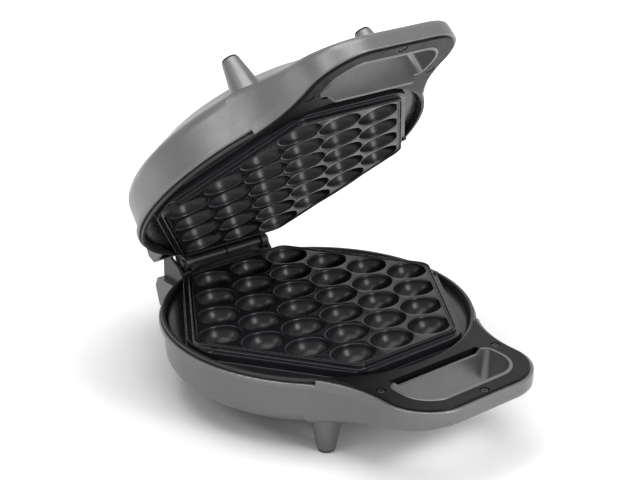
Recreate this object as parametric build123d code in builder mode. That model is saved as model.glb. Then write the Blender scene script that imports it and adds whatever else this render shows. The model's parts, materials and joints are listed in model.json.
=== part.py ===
"""Bubble waffle maker: two shell halves on a rear hinge, each with a cast plate of thirty cups.

Frame while drawing: X runs along the hinge, -Y points to the handles, +Z is up, and Z = 0 is the top
of the base's bezel ring. Most pieces are drawn once, for the base. The lid's twin is the mirror image
about the parting plane, swung open about the hinge. At the end everything is moved so that the origin
is the bottom centre of the open maker. Millimetres and degrees.
"""
from build123d import *
from math import asin, atan2, cos, degrees, hypot, pi, radians, sin, tan
import os

os.makedirs("parts", exist_ok=True)

# Hinge and parting plane
PARTING_Z = 5.5            # half the gap between the two bezel rings of the shut maker
HINGE_Y = 101.8            # hinge axis, behind the middle of the drum
HINGE_Z = 6.4
REST_OPENING = 46.1        # how far the lid stands open
FULL_OPENING = 64.0        # how far it can open

# Drum of a half
BODY_R = 102.3             # outside of the side wall under its lip
LIP_R = 104.8              # outside of the lip
LIP_TOP = -2.8
LIP_BOTTOM = -5.8
WALL = 2.5                 # shell thickness
DRAFT = 4.4                # lean of the side walls
SIDE_LOW = -29.9           # where the side wall meets the sloping shoulder
SLOPE = 28.0               # fall of that shoulder
CROWN_R = 73.6             # where the shoulder meets the flat crown
CROWN_DROP = 2.3           # rise of the crown towards its middle
CORNER_R = 9.6             # rounding between side wall and shoulder
LIP_ROUND = 0.9

# Handle
GRIP_HALF = 56.2           # half width
GRIP_REACH = 158.8         # from the drum's middle to the handle's front
GRIP_CORNER = 32.0
GRIP_SPREAD = 47.0         # where the handle's sides run out into the drum, from -Y
RIM_SPREAD = 41.0          # where the handle's rim and cover end, from -Y
GRIP_TOP = 0.6             # top of the handle's rim
GRIP_WALL = 3.2
RIM_WALL = 2.0             # rim around the handle cover
UNDER_FRONT = -10.2        # underside of the handle at its front edge
UNDER_SLOPE = 14.5
UNDER_ROUND = 5.0
BLEND_BITE = 0.05          # how far the handle's side blends sink into the drum

# Finger hole through the handle
HOLE_HALF = 40.5
HOLE_REAR = 115.0          # straight side, towards the drum
HOLE_FRONT = 145.0
HOLE_FRONT_CORNER = 18.0
HOLE_REAR_CORNER = 4.0
COLLAR_WALL = 2.2
COLLAR_TOP = 2.3
COLLAR_STEP_HALF = 36.5    # the collar changes its height within this half width
COLLAR_LOW = -1.0          # top of the base's collar along the straight side
COLLAR_LOW_HALF = 32.5
TONGUE_TOP = 7.3           # top of the lid's collar along the straight side
TONGUE_HALF = 31.0
COLLAR_ROUND = 0.7

# Bezel ring
RING_R = 103.2
RING_INNER = 101.0
RING_INNER_LOW = 99.9
RING_BAND = 2.0            # height of the band that shows
RING_NECK = 102.2
RING_SEAT = -4.3           # where it stands on the shell
RING_FIT = 0.3             # gap round the neck
RING_ROUND = 0.35
PEG_R = 0.7
PEG_LENGTH = 2.5
PEG_FIT = 0.1
PEG_COUNT = 8

# Handle cover
COVER_TOP = 1.9
COVER_T = 2.4
COVER_FIT = 0.2
COVER_GAP = 0.7            # to the bezel ring
COVER_ROUND = 0.8
FLANGE_FIT = 0.2
LEDGE_TOP = -3.5           # recessed strip between the cover's bridge and the finger hole
LEDGE_REAR = 109.4
LEDGE_T = 1.8
COVER_SCREWS = ((-48.5, -115.0), (48.5, -115.0), (0.0, -152.8))

# Cast plate
PLATE_R = 99.4
PLATE_RIM_TOP = -3.5
PLATE_RIM_T = 2.5
LAND_TOP = 4.5
LAND_T = 2.7
CUP_PITCH = 32.1           # along a row
ROW_PITCH = 23.87
ROW_REACH = 3              # rows each side of the middle one
MIDDLE_ROW_CUPS = 6
CUP_HALF_LENGTH = 15.0
CUP_DEPTH = 12.1
CUP_END_R = 10.0
CUP_WALL_SIDE = 1.0
CUP_WALL_DROP = 1.2
CUP_BACK_SINK = 0.9        # the backs are cut off this far below their middles, inside the land
CUP_LIFT = 0.3             # cup middles above the land
HEX_INNER_LIP = 14.4       # distances out from the hexagon of the outermost cup centres
HEX_GROOVE_IN = 15.3
HEX_GROOVE_OUT = 16.2
HEX_OUTER_LIP = 17.1
HEX_STEP = 21.0
HEX_CORNER = 9.0
HEX_LIP_TOP = 5.0
GROOVE_DEPTH = 1.2
STEP_TOP = 2.0
STEP_T = 2.5
PLATE_SCREW_X = 96.8
PLATE_SCREW_Y = -12.0
REST_R = 95.6              # circle of the shell's posts under the plate's rim
POST_R = 3.4
POST_ANGLES = (55, 125, 235, 305)

# Screws
SCREW_R = 1.4
SCREW_HEAD_R = 2.6
SCREW_HEAD_T = 1.1
SCREW_RECESS_R = 3.1
SCREW_RECESS = 1.4
SCREW_BITE = 9.0
SCREW_FIT = 0.15
SLOT_R = 1.5               # cross recess of a screw head
SLOT_W = 0.6
SLOT_DEPTH = 0.6
BOSS_R = 3.4
SMALL_HEAD_R = 1.9
SMALL_HEAD_T = 0.9
THREAD_FIT = 0.03          # round a screw's thread in its bore
TIP_GAP = 0.5              # under a screw's tip

# Feet
FOOT_PLACES = ((-53.9, -72.9), (53.9, -72.9), (-50.0, 63.0), (50.0, 63.0))
FOOT_ROOT_R = 10.5
FOOT_TIP_R = 5.9
FLOOR_Z = -55.0
PAD_R = 5.4
PAD_SHOW = 1.7
PAD_SINK = 1.5
PAD_FIT = 0.05
PAD_PLUG_R = 3.0
PAD_ROUND = 0.9
FOOT_BOSS_R = 5.0
FOOT_BOSS_TOP = -29.3
FOOT_SCREW_BITE = 8.0

# Rear shoulder
BULGE_HALF = 44.0
BULGE_TOP = -9.0
BULGE_TOP_REAR = 122.0
BULGE_REAR = 124.5
BULGE_REAR_Z = -15.4
BULGE_LOW_REAR = 120.0
BULGE_LOW_Z = -29.4
BULGE_FOOT_Y = 92.0
NOTCH_FRONT = 90.0         # front of the lid's hinge cover and of its opening

# Hinge
BLOCK_HALF = 40.0
CHEEK = 2.2
EAR_IN = 30.5
EAR_OUT = 36.0
EAR_FIT = 0.35
EAR_R = 4.6
EAR_NOTCH_FLOOR = 0.3
STEM_FRONT = 99.5
STEM_REAR = 107.0
PIN_R = 1.5
PIN_FIT = 0.05
PIN_HEAD_R = 2.6
PIN_HEAD_T = 1.4
KNUCKLE_R = 2.8
KNUCKLE_GAP = 1.2
RING_CLEAR = 0.5
HINGE_COVER_RISE = 18.0    # lid's hinge cover, from the axis
HINGE_COVER_T = 2.5
HINGE_COVER_FIT = 0.3
HINGE_COVER_SEAT = 1.2
HINGE_BOSS_L = 8.0
HINGE_SCREW_BITE = 9.0
HUMP = ((-4.9, -8.9), (0.8, -2.6), (7.8, 1.1), (10.1, 2.6), (17.7, -1.1))    # block's outline from the axis
KNUCKLE_WEB = ((0.0, -2.8), (0.8, -3.6), (4.3, -2.0), (2.6, 0.8))
HINGE_SCREW_X = 33.4
HINGE_SCREW_Y = 101.5
LID_SCREW_X = 18.0
LID_SCREW_Y = 112.0

# Heating
TUBE_R = 3.25
TUBE_GAP = 0.3             # under the cups
TUBE_BEND = 9.0
TUBE_REACH = 62.0
TUBE_ROW = 54.0
TUBE_LEG_X = 12.0
TUBE_LEG_END = 16.0
TUBE_SIDE_X = 34.0
DISH_R = 84.0
DISH_RISE = 5.0
DISH_T = 0.8
DISH_FLOOR = -26.5
DISH_SCREW_R = 70.0
DISH_SCREW_ANGLES = (0, 90, 180, 270)
CLIP_X = 24.7
CLIP_L = 7.0
CLIP_WALL = 1.2
CLIP_FOOT = 11.0
PIN_TERMINAL_R = 1.2
PIN_TERMINAL_L = 8.0

# Thermostat, fuse, terminals and cord inlet
STAT_R = 8.0
STAT_H = 9.0
STAT_FLANGE_R = 10.0
STAT_FLANGE_T = 1.2
BRACKET_T = 1.0
BRACKET_W = 12.0
BRACKET_FOOT = 6.0
TAB_W = 4.8
TAB_T = 0.8
TAB_L = 7.0
FUSE_R = 2.0
FUSE_L = 16.0
FUSE_Y = 28.0
FUSE_CRADLE = 1.0
FUSE_WIRE_R = 0.4
FUSE_WIRE_L = 7.0
BLOCK_X = -12.0
BLOCK_Y = 107.5
BLOCK_L = 30.0
BLOCK_W = 12.0
BLOCK_H = 7.0
BLOCK_POLES = 3
TERMINAL_SEAT = -23.5
TERMINAL_SCREW_R = 1.6
TERMINAL_BITE = 4.0
GLAND_X = 20.0
GLAND_Z = -21.7
GLAND_R = 4.6
GLAND_L = 9.5
GLAND_NUT_INSET = 6.0
GLAND_FLANGE_R = 6.0
GLAND_NUT_R = 5.4
GLAND_FLANGE_T = 1.6
GLAND_BORE = 3.2
GLAND_FIT = 0.1

# Signal lamps of the lid
LAMP_X = 8.5
LAMP_Y = -58.0
LAMP_R = 3.2
LAMP_PROUD = 0.9
LAMP_ROUND = 0.6
LAMP_GAP = 0.3
LAMP_FIT = 0.1
BOARD_SEAT = -38.0
BOARD_W = 12.0
BOARD_L = 38.0
BOARD_T = 1.6
BOARD_SCREW_X = 15.5
BOARD_SCREW_BITE = 3.0

# Places that follow from the sizes above
PLATE_BOTTOM = PLATE_RIM_TOP - PLATE_RIM_T
PLATE_SCREWS = ((-PLATE_SCREW_X, PLATE_SCREW_Y), (PLATE_SCREW_X, PLATE_SCREW_Y))
CUP_BACK_LOW = LAND_TOP - CUP_WALL_DROP - CUP_DEPTH - CUP_WALL_SIDE
TUBE_Z = CUP_BACK_LOW - TUBE_GAP - TUBE_R
CLIP_PLACES = [(x, y) for x in (-CLIP_X, CLIP_X) for y in (-TUBE_ROW, TUBE_ROW)]
DISH_POSTS = [(DISH_SCREW_R * cos(radians(a)), DISH_SCREW_R * sin(radians(a))) for a in DISH_SCREW_ANGLES]
BASE_HINGE_SCREWS = ((-HINGE_SCREW_X, HINGE_SCREW_Y), (HINGE_SCREW_X, HINGE_SCREW_Y))
LID_HINGE_SCREWS = ((-LID_SCREW_X, LID_SCREW_Y), (LID_SCREW_X, LID_SCREW_Y))
HINGE_COVER_FACE = 2 * PARTING_Z - HINGE_Z - HINGE_COVER_RISE
TERMINAL_SCREWS = ((BLOCK_X - BLOCK_L / BLOCK_POLES / 2, BLOCK_Y), (BLOCK_X + BLOCK_L / BLOCK_POLES / 2, BLOCK_Y))
LAMP_PLACES = ((-LAMP_X, LAMP_Y), (LAMP_X, LAMP_Y))
BOARD_SCREWS = ((-BOARD_SCREW_X, LAMP_Y), (BOARD_SCREW_X, LAMP_Y))
PARTING = Plane.XY.offset(PARTING_Z)
HINGE_AXIS = Axis((0, HINGE_Y, HINGE_Z), (1, 0, 0))


def swing(piece):
    """Open a piece drawn for the shut lid to the resting angle."""
    return piece.rotate(HINGE_AXIS, -REST_OPENING)


def as_lid(piece):
    """Give the lid's twin of a piece that is drawn for the base."""
    return swing(mirror(piece, about=PARTING, mode=Mode.PRIVATE))


# Shell of a half

def drum(inset, top):
    """Solid of the drum inside its outer skin by inset, up to the height top."""
    side_r = BODY_R - (LIP_BOTTOM - SIDE_LOW) * tan(radians(DRAFT))
    crown_z = SIDE_LOW - (side_r - CROWN_R) * tan(radians(SLOPE))
    high = top + inset
    high_r = BODY_R + (high - LIP_BOTTOM) * tan(radians(DRAFT))
    with BuildPart() as body:
        with BuildSketch(Plane.XZ) as section:
            with BuildLine():
                Polyline(
                    (-high_r, high), (high_r, high), (side_r, SIDE_LOW), (CROWN_R, crown_z),
                    (0, crown_z - CROWN_DROP), (-CROWN_R, crown_z), (-side_r, SIDE_LOW), close=True,
                )
            make_face()
            fillet(section.vertices().group_by(Axis.Y)[-2], CORNER_R)
            if inset:
                offset(amount=-inset, kind=Kind.INTERSECTION)
            split(bisect_by=Plane.YZ, keep=Keep.TOP)
        revolve(axis=Axis.Z)
    return body.part


def grip_outline(ring_r, inset, closing):
    """Draw the handle's plan outline, which runs out into the circle ring_r on both sides.

    closing names what shuts the outline: the far side of the circle, two radii, or a chord.
    """
    spread = radians(GRIP_SPREAD)
    blend = (ring_r * sin(spread) - GRIP_HALF) / (1 - sin(spread))
    blend_x = (ring_r + blend) * sin(spread)
    blend_y = -(ring_r + blend) * cos(spread)
    half = GRIP_HALF - inset
    front = inset - GRIP_REACH
    corner = GRIP_CORNER - inset
    near = (ring_r - inset) * sin(spread)
    near_y = -(ring_r - inset) * cos(spread)
    turn = 90 - GRIP_SPREAD
    with BuildLine() as outline:
        CenterArc((-blend_x, blend_y), blend + inset, turn, -turn)
        Line((-half, blend_y), (-half, front + corner))
        CenterArc((corner - half, front + corner), corner, 180, 90)
        Line((corner - half, front), (half - corner, front))
        CenterArc((half - corner, front + corner), corner, 270, 90)
        Line((half, front + corner), (half, blend_y))
        CenterArc((blend_x, blend_y), blend + inset, 180, -turn)
        if closing == "circle":
            CenterArc((0, 0), ring_r - inset, GRIP_SPREAD - 90, 360 - 2 * GRIP_SPREAD)
        elif closing == "radii":
            Polyline((near, near_y), (0, 0), (-near, near_y))
        else:
            Line((near, near_y), (-near, near_y))
    return outline.line


def rim_outline(inset):
    """Plan of the handle's rim, between the two radii where it ends."""
    spread = radians(RIM_SPREAD)
    far = 2 * GRIP_REACH
    with BuildSketch() as outline:
        add(grip_outline(LIP_R, inset, "radii"))
        make_face()
        with BuildSketch(mode=Mode.INTERSECT):
            with BuildLine():
                Polyline((0, 0), (-far * sin(spread), -far * cos(spread)),
                         (far * sin(spread), -far * cos(spread)), close=True)
            make_face()
    return outline.sketch


def under_plane(inset):
    """Plane of the handle's underside, moved up into the handle by inset."""
    lean = radians(UNDER_SLOPE)
    return Plane(
        origin=(0, -GRIP_REACH, UNDER_FRONT), x_dir=(1, 0, 0), z_dir=(0, sin(lean), cos(lean))
    ).offset(inset)


def grip_body():
    """Lower handle, with leaning sides and a rounded sloping underside."""
    with BuildPart() as body:
        with BuildSketch(Plane.XY.offset(LIP_BOTTOM)):
            add(grip_outline(BODY_R - BLEND_BITE, 0, "chord"))
            make_face()
        extrude(amount=SIDE_LOW - 2 * WALL - LIP_BOTTOM, taper=DRAFT)
        split(bisect_by=under_plane(0), keep=Keep.TOP)
        under = body.faces().sort_by(Axis.Z)[0]
        chord_y = -BODY_R * cos(radians(GRIP_SPREAD)) - 1
        fillet([edge for edge in under.edges() if edge.center().Y < chord_y], UNDER_ROUND)
    return body.part


def bulge(inset, top, lowest_front):
    """Rear shoulder that carries the hinge."""
    with BuildPart() as body:
        with BuildSketch(Plane.YZ):
            with BuildLine():
                Polyline(
                    (lowest_front, top), (BULGE_TOP_REAR - inset, top),
                    (BULGE_REAR - inset, BULGE_REAR_Z),
                    (BULGE_LOW_REAR - inset, BULGE_LOW_Z + inset),
                    (BULGE_FOOT_Y, SIDE_LOW - 4 + inset), (lowest_front, SIDE_LOW - 4 + inset),
                    close=True,
                )
            make_face()
        extrude(amount=BULGE_HALF - inset, both=True)
    return body.part


def hole_outline(grow):
    """Draw the finger hole's outline, grown by the given amount."""
    with BuildSketch() as outline:
        with Locations((0, -(HOLE_REAR + HOLE_FRONT) / 2)):
            Rectangle(2 * (HOLE_HALF + grow), HOLE_FRONT - HOLE_REAR + 2 * grow)
        fillet(outline.vertices().group_by(Axis.Y)[0], HOLE_FRONT_CORNER + grow)
        fillet(outline.vertices().group_by(Axis.Y)[-1], HOLE_REAR_CORNER + grow)
    return outline.sketch


def skin_z(place):
    """Height of the shell's outer skin under a place on its shoulder or crown."""
    radius = hypot(*place)
    side_r = BODY_R - (LIP_BOTTOM - SIDE_LOW) * tan(radians(DRAFT))
    crown_z = SIDE_LOW - (side_r - CROWN_R) * tan(radians(SLOPE))
    if radius < CROWN_R:
        return crown_z - CROWN_DROP * (1 - radius / CROWN_R)
    return SIDE_LOW - (side_r - radius) * tan(radians(SLOPE))


def round_posts(places, radius, top, within):
    """Posts from the height top down to the outer skin of the solid within."""
    with BuildPart() as posts:
        with BuildSketch(Plane.XY.offset(top)):
            with Locations(*places):
                Circle(radius)
        extrude(amount=FLOOR_Z - top)
        add(within, mode=Mode.INTERSECT)
    return posts.part


def rods(places, radius, top, depth):
    """Round bars that go down from the height top, to be added or to be cut away as bores."""
    with BuildPart() as bars:
        with BuildSketch(Plane.XY.offset(top)):
            with Locations(*places):
                Circle(radius)
        extrude(amount=-depth)
    return bars.part


def grip_top():
    """Upper handle: its rim, the seat of the cover inside the rim, and the lip towards the drum."""
    with BuildPart() as top:
        with BuildSketch(Plane.XY.offset(LIP_BOTTOM)):
            add(rim_outline(0))
        extrude(amount=GRIP_TOP - LIP_BOTTOM)
        front_edge = top.edges().group_by(Axis.Z)[-1].sort_by(Axis.Y)[0]
        fillet(front_edge, LIP_ROUND)
        with BuildSketch(Plane.XY.offset(COVER_TOP - COVER_T)):
            add(rim_outline(RIM_WALL))
        extrude(amount=COVER_T, mode=Mode.SUBTRACT)
        with BuildSketch(Plane.XY.offset(LIP_TOP)):
            add(rim_outline(RIM_WALL))
            Circle(LIP_R, mode=Mode.INTERSECT)
        extrude(amount=COVER_T - LIP_TOP, mode=Mode.SUBTRACT)
    return top.part


def grip_pocket():
    """Hollow of the handle, around the collar and the screw bosses."""
    with BuildPart() as pocket:
        with BuildSketch(Plane.XY.offset(COVER_TOP - COVER_T)):
            add(grip_outline(BODY_R - BLEND_BITE, GRIP_WALL, "chord"))
            make_face()
            Circle(LIP_R, mode=Mode.SUBTRACT)
            add(hole_outline(COLLAR_WALL), mode=Mode.SUBTRACT)
            with Locations(*COVER_SCREWS):
                Circle(BOSS_R, mode=Mode.SUBTRACT)
        extrude(amount=SIDE_LOW - COVER_TOP)
        split(bisect_by=under_plane(WALL), keep=Keep.TOP)
    return pocket.part


def hole_side_block(low_half, low, top_half, top, rear):
    """Block along the finger hole's straight side, with sloping ends, from the hole back to rear."""
    with BuildPart() as block:
        with BuildSketch(Plane.XZ.offset(rear)):
            with BuildLine():
                Polyline((-low_half, low), (low_half, low), (top_half, top), (-top_half, top), close=True)
            make_face()
        extrude(amount=HOLE_REAR - rear)
    return block.part


def collar(is_lid):
    """Proud rim around the finger hole: along the straight side the base's is low, the lid's a tongue."""
    outside = HOLE_REAR - COLLAR_WALL
    with BuildPart() as rim:
        with BuildSketch(Plane.XY.offset(LIP_BOTTOM)):
            add(hole_outline(COLLAR_WALL))
        extrude(amount=COLLAR_TOP - LIP_BOTTOM)
        fillet(rim.faces().sort_by(Axis.Z)[-1].edges(), COLLAR_ROUND)
        if is_lid:
            add(hole_side_block(COLLAR_STEP_HALF, COLLAR_LOW, TONGUE_HALF, TONGUE_TOP, outside))
            fillet(rim.edges().group_by(Axis.Z)[-1].sort_by(SortBy.LENGTH)[-2:], COLLAR_ROUND)
        else:
            behind = outside - COLLAR_WALL
            cut = hole_side_block(COLLAR_LOW_HALF, COLLAR_LOW, COLLAR_STEP_HALF, COLLAR_TOP, behind)
            add(cut, mode=Mode.SUBTRACT)
    return rim.part


def notch():
    """Room for the hinge in the lip at the rear: a sector outside the drum, as wide as the shoulder."""
    side_y = BULGE_HALF / tan(asin(BULGE_HALF / BODY_R))
    reach = BULGE_REAR / side_y
    with BuildPart() as room:
        with BuildSketch(Plane.XY.offset(BULGE_TOP)):
            with BuildLine():
                Polyline((0, 0), (BULGE_HALF * reach, side_y * reach), (-BULGE_HALF * reach, side_y * reach),
                         close=True)
            make_face()
            Circle(BODY_R, mode=Mode.SUBTRACT)
        extrude(amount=-BULGE_TOP)
    return room.part


def lip():
    """Band around the top of the shell, rounded along its upper edge."""
    with BuildPart() as band:
        with BuildSketch(Plane.XY.offset(LIP_BOTTOM)):
            add(grip_outline(LIP_R, 0, "circle"))
            make_face()
        extrude(amount=LIP_TOP - LIP_BOTTOM)
        fillet(band.edges().group_by(Axis.Z)[-1].sort_by(SortBy.LENGTH)[-1], LIP_ROUND)
    return band.part


def hinge_recess():
    """Opening of the lid's rear shoulder, with the seat of the hinge cover in it."""
    with BuildPart() as recess:
        with BuildSketch(Plane.XY.offset(HINGE_COVER_FACE - HINGE_COVER_T)):
            with Locations((0, NOTCH_FRONT)):
                Rectangle(2 * (BULGE_HALF - WALL), LIP_R, align=(Align.CENTER, Align.MIN))
            Circle(BODY_R, mode=Mode.SUBTRACT)
        extrude(amount=BULGE_TOP - HINGE_COVER_FACE + HINGE_COVER_T)
        add(bulge(WALL, BULGE_TOP, CROWN_R), mode=Mode.INTERSECT)
    return recess.part


def housing(is_lid):
    """Shell of a half, with its posts, bosses and openings."""
    skin = drum(0, LIP_TOP)
    shoulder = bulge(0, BULGE_TOP, CROWN_R)
    with BuildPart() as shell:
        add(skin)
        add(grip_body())
        add(lip())
        add(grip_top())
        add(collar(is_lid))
        add(notch(), mode=Mode.SUBTRACT)
        add(shoulder)
        add(drum(WALL, GRIP_TOP), mode=Mode.SUBTRACT)
        add(rods([(0, 0)], RING_NECK + RING_FIT, COVER_TOP, COVER_TOP - RING_SEAT), mode=Mode.SUBTRACT)
        add(rods([(0, 0)], RING_R + COVER_GAP, COVER_TOP, COVER_TOP - LIP_TOP), mode=Mode.SUBTRACT)
        add(grip_pocket(), mode=Mode.SUBTRACT)
        with BuildSketch(Plane.XY.offset(COVER_TOP + COVER_T)):
            add(hole_outline(0))
        extrude(amount=FLOOR_Z, mode=Mode.SUBTRACT)
        if is_lid:
            add(hinge_recess(), mode=Mode.SUBTRACT)
            seat = HINGE_COVER_FACE - HINGE_COVER_T
            add(bulge(WALL + HINGE_COVER_SEAT, seat, CROWN_R), mode=Mode.SUBTRACT)
            add(round_posts(LID_HINGE_SCREWS, BOSS_R, seat, shoulder))
        else:
            add(bulge(WALL, BULGE_TOP - WALL, CROWN_R), mode=Mode.SUBTRACT)
            add(rods(BASE_HINGE_SCREWS, BOSS_R, BULGE_TOP - WALL, HINGE_BOSS_L))
            add(round_posts(TERMINAL_SCREWS, BOSS_R, TERMINAL_SEAT, shoulder))
        add(round_posts(plate_posts(), POST_R, PLATE_BOTTOM, skin))
        add(round_posts(DISH_POSTS, BOSS_R, DISH_FLOOR - DISH_T, skin))
        add(round_posts(FOOT_PLACES, FOOT_BOSS_R, FOOT_BOSS_TOP, skin))
        bore = SCREW_R + THREAD_FIT
        add(rods(ring_pegs(), PEG_R + PEG_FIT, RING_SEAT, PEG_LENGTH + PEG_FIT), mode=Mode.SUBTRACT)
        add(rods(COVER_SCREWS, bore, COVER_TOP - COVER_T, SCREW_BITE), mode=Mode.SUBTRACT)
        add(rods(PLATE_SCREWS, bore, PLATE_BOTTOM, SCREW_BITE), mode=Mode.SUBTRACT)
        add(rods(DISH_POSTS, bore, DISH_FLOOR - DISH_T, SCREW_BITE), mode=Mode.SUBTRACT)
        add(rods(FOOT_PLACES, SCREW_R + SCREW_FIT, FOOT_BOSS_TOP, -FLOOR_Z), mode=Mode.SUBTRACT)
        head_top = FOOT_BOSS_TOP + SCREW_HEAD_T
        add(rods(FOOT_PLACES, SCREW_HEAD_R + SCREW_FIT, head_top, SCREW_HEAD_T), mode=Mode.SUBTRACT)
        if is_lid:
            add(rods(LID_HINGE_SCREWS, bore, seat, SCREW_BITE), mode=Mode.SUBTRACT)
            add(round_posts(BOARD_SCREWS, BOSS_R, BOARD_SEAT, skin))
            add(rods(BOARD_SCREWS, bore, BOARD_SEAT, BOARD_SCREW_BITE), mode=Mode.SUBTRACT)
            add(rods(LAMP_PLACES, LAMP_R + LAMP_FIT, BOARD_SEAT, -FLOOR_Z), mode=Mode.SUBTRACT)
        else:
            add(rods(BASE_HINGE_SCREWS, bore, BULGE_TOP, HINGE_SCREW_BITE), mode=Mode.SUBTRACT)
            add(rods(TERMINAL_SCREWS, bore, TERMINAL_SEAT, TERMINAL_BITE), mode=Mode.SUBTRACT)
            with BuildSketch(Plane.XZ.offset(-BULGE_FOOT_Y)):
                with Locations((GLAND_X, GLAND_Z)):
                    Circle(GLAND_R + GLAND_FIT)
            extrude(amount=BULGE_FOOT_Y - BULGE_REAR - WALL, mode=Mode.SUBTRACT)
    return shell.part


def ring_pegs():
    """Places of the ring's pegs, in the middle of the shell's wall."""
    middle = BODY_R - WALL / 2
    steps = [2 * pi * (i + 0.5) / PEG_COUNT for i in range(PEG_COUNT)]
    return [(middle * cos(step), middle * sin(step)) for step in steps]


def plate_posts():
    """Places of the posts that carry the plate's rim: four bare ones and two with screws."""
    bare = [(REST_R * cos(radians(a)), REST_R * sin(radians(a))) for a in POST_ANGLES]
    return bare + list(PLATE_SCREWS)


# Bezel ring and handle cover

def bezel_ring():
    """Ring that frames the plate, with pegs that sit in the shell's wall."""
    with BuildPart() as ring:
        with BuildSketch(Plane.XZ) as section:
            with BuildLine():
                Polyline(
                    (RING_INNER_LOW, RING_SEAT), (RING_NECK, RING_SEAT), (RING_NECK, -RING_BAND),
                    (RING_R, -RING_BAND), (RING_R, 0), (RING_INNER, 0), close=True,
                )
            make_face()
            fillet(section.vertices().group_by(Axis.Y)[-1], RING_ROUND)
        revolve(axis=Axis.Z)
        add(rods(ring_pegs(), PEG_R, RING_SEAT, PEG_LENGTH))
    return ring.part


def handle_cover():
    """Cover of the handle, around the collar, with a recessed strip behind the finger hole."""
    under = COVER_TOP - COVER_T
    bridge_half = COLLAR_STEP_HALF + COVER_FIT
    strip_rear = -LEDGE_REAR
    strip_front = -(HOLE_REAR - COLLAR_WALL - COVER_FIT)
    with BuildPart() as cover:
        with BuildSketch(Plane.XY.offset(under)):
            add(rim_outline(RIM_WALL + COVER_FIT))
        extrude(amount=COVER_T)
        fillet(cover.edges().group_by(Axis.Z)[-1].sort_by(Axis.Y)[0], COVER_ROUND)
        with BuildSketch(Plane.XY.offset(under)):
            Circle(RING_R + COVER_GAP)
            add(hole_outline(COLLAR_WALL + COVER_FIT))
        extrude(amount=COVER_T, mode=Mode.SUBTRACT)
        with BuildSketch(Plane.XY.offset(LIP_TOP)):
            add(rim_outline(RIM_WALL + COVER_FIT))
            Circle(LIP_R - FLANGE_FIT, mode=Mode.INTERSECT)
            Circle(RING_R + COVER_GAP, mode=Mode.SUBTRACT)
        extrude(amount=under - LIP_TOP)
        with BuildSketch(Plane.XY.offset(under)):
            with Locations((0, strip_rear)):
                Rectangle(2 * bridge_half, strip_rear - strip_front + COVER_FIT,
                          align=(Align.CENTER, Align.MAX))
        extrude(amount=COVER_T, mode=Mode.SUBTRACT)
        with BuildSketch(Plane.YZ):
            with BuildLine():
                Polyline(
                    (strip_front, LEDGE_TOP), (strip_rear, LEDGE_TOP), (strip_rear, COVER_TOP),
                    (strip_rear + LEDGE_T, COVER_TOP), (strip_rear + LEDGE_T, LEDGE_TOP - LEDGE_T),
                    (strip_front, LEDGE_TOP - LEDGE_T), close=True,
                )
            make_face()
        extrude(amount=bridge_half, both=True)
        add(rods(COVER_SCREWS, SCREW_R + SCREW_FIT, COVER_TOP, COVER_T), mode=Mode.SUBTRACT)
        add(rods(COVER_SCREWS, SCREW_RECESS_R, COVER_TOP, SCREW_RECESS), mode=Mode.SUBTRACT)
    return cover.part


# Cast plate

def cup_centres():
    """Places of the cups: rows of six in the middle down to three at the ends, each row staggered."""
    centres = []
    for row in range(-ROW_REACH, ROW_REACH + 1):
        count = MIDDLE_ROW_CUPS - abs(row)
        for place in range(count):
            centres.append(((place - (count - 1) / 2) * CUP_PITCH, row * ROW_PITCH))
    return centres


def hexagon(grow, corner):
    """Hexagon round the outermost cup centres, grown outwards, with rounded corners."""
    tip = (MIDDLE_ROW_CUPS - 1) / 2 * CUP_PITCH
    shoulder_x = (MIDDLE_ROW_CUPS - ROW_REACH - 1) / 2 * CUP_PITCH
    shoulder_y = ROW_REACH * ROW_PITCH
    side = atan2(shoulder_y, tip - shoulder_x)
    far_x = tip + grow / sin(side)
    far_y = shoulder_y + grow
    near_x = far_x - far_y / tan(side)
    with BuildSketch() as outline:
        with BuildLine():
            Polyline(
                (far_x, 0), (near_x, far_y), (-near_x, far_y),
                (-far_x, 0), (-near_x, -far_y), (near_x, -far_y), close=True,
            )
        make_face()
        fillet(outline.vertices(), corner)
    return outline.sketch


def egg_shapes(half_length, half_width, end_r, centre_z):
    """Egg shapes with their long axis along X, one at each cup: a barrel with two ball ends."""
    ball_x = half_length - end_r
    barrel_r = (ball_x ** 2 + half_width ** 2 - end_r ** 2) / (2 * (half_width - end_r))
    barrel_y = half_width - barrel_r
    turn = degrees(atan2(-barrel_y, ball_x))
    with BuildPart() as egg:
        with BuildSketch(Plane.XZ):
            with BuildLine():
                CenterArc((ball_x, 0), end_r, 0, turn)
                CenterArc((0, barrel_y), barrel_r, turn, 180 - 2 * turn)
                CenterArc((-ball_x, 0), end_r, 180 - turn, turn)
                Line((-half_length, 0), (half_length, 0))
            make_face()
        revolve(axis=Axis.X)
    with BuildPart() as eggs:
        with Locations(*[(x, y, centre_z) for x, y in cup_centres()]):
            add(egg.part)
    return eggs.part


def layer(low, high, grow, corner):
    """Hexagonal slab between two heights."""
    with BuildPart() as slab:
        with BuildSketch(Plane.XY.offset(low)):
            add(hexagon(grow, corner))
        extrude(amount=high - low)
    return slab.part


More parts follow.
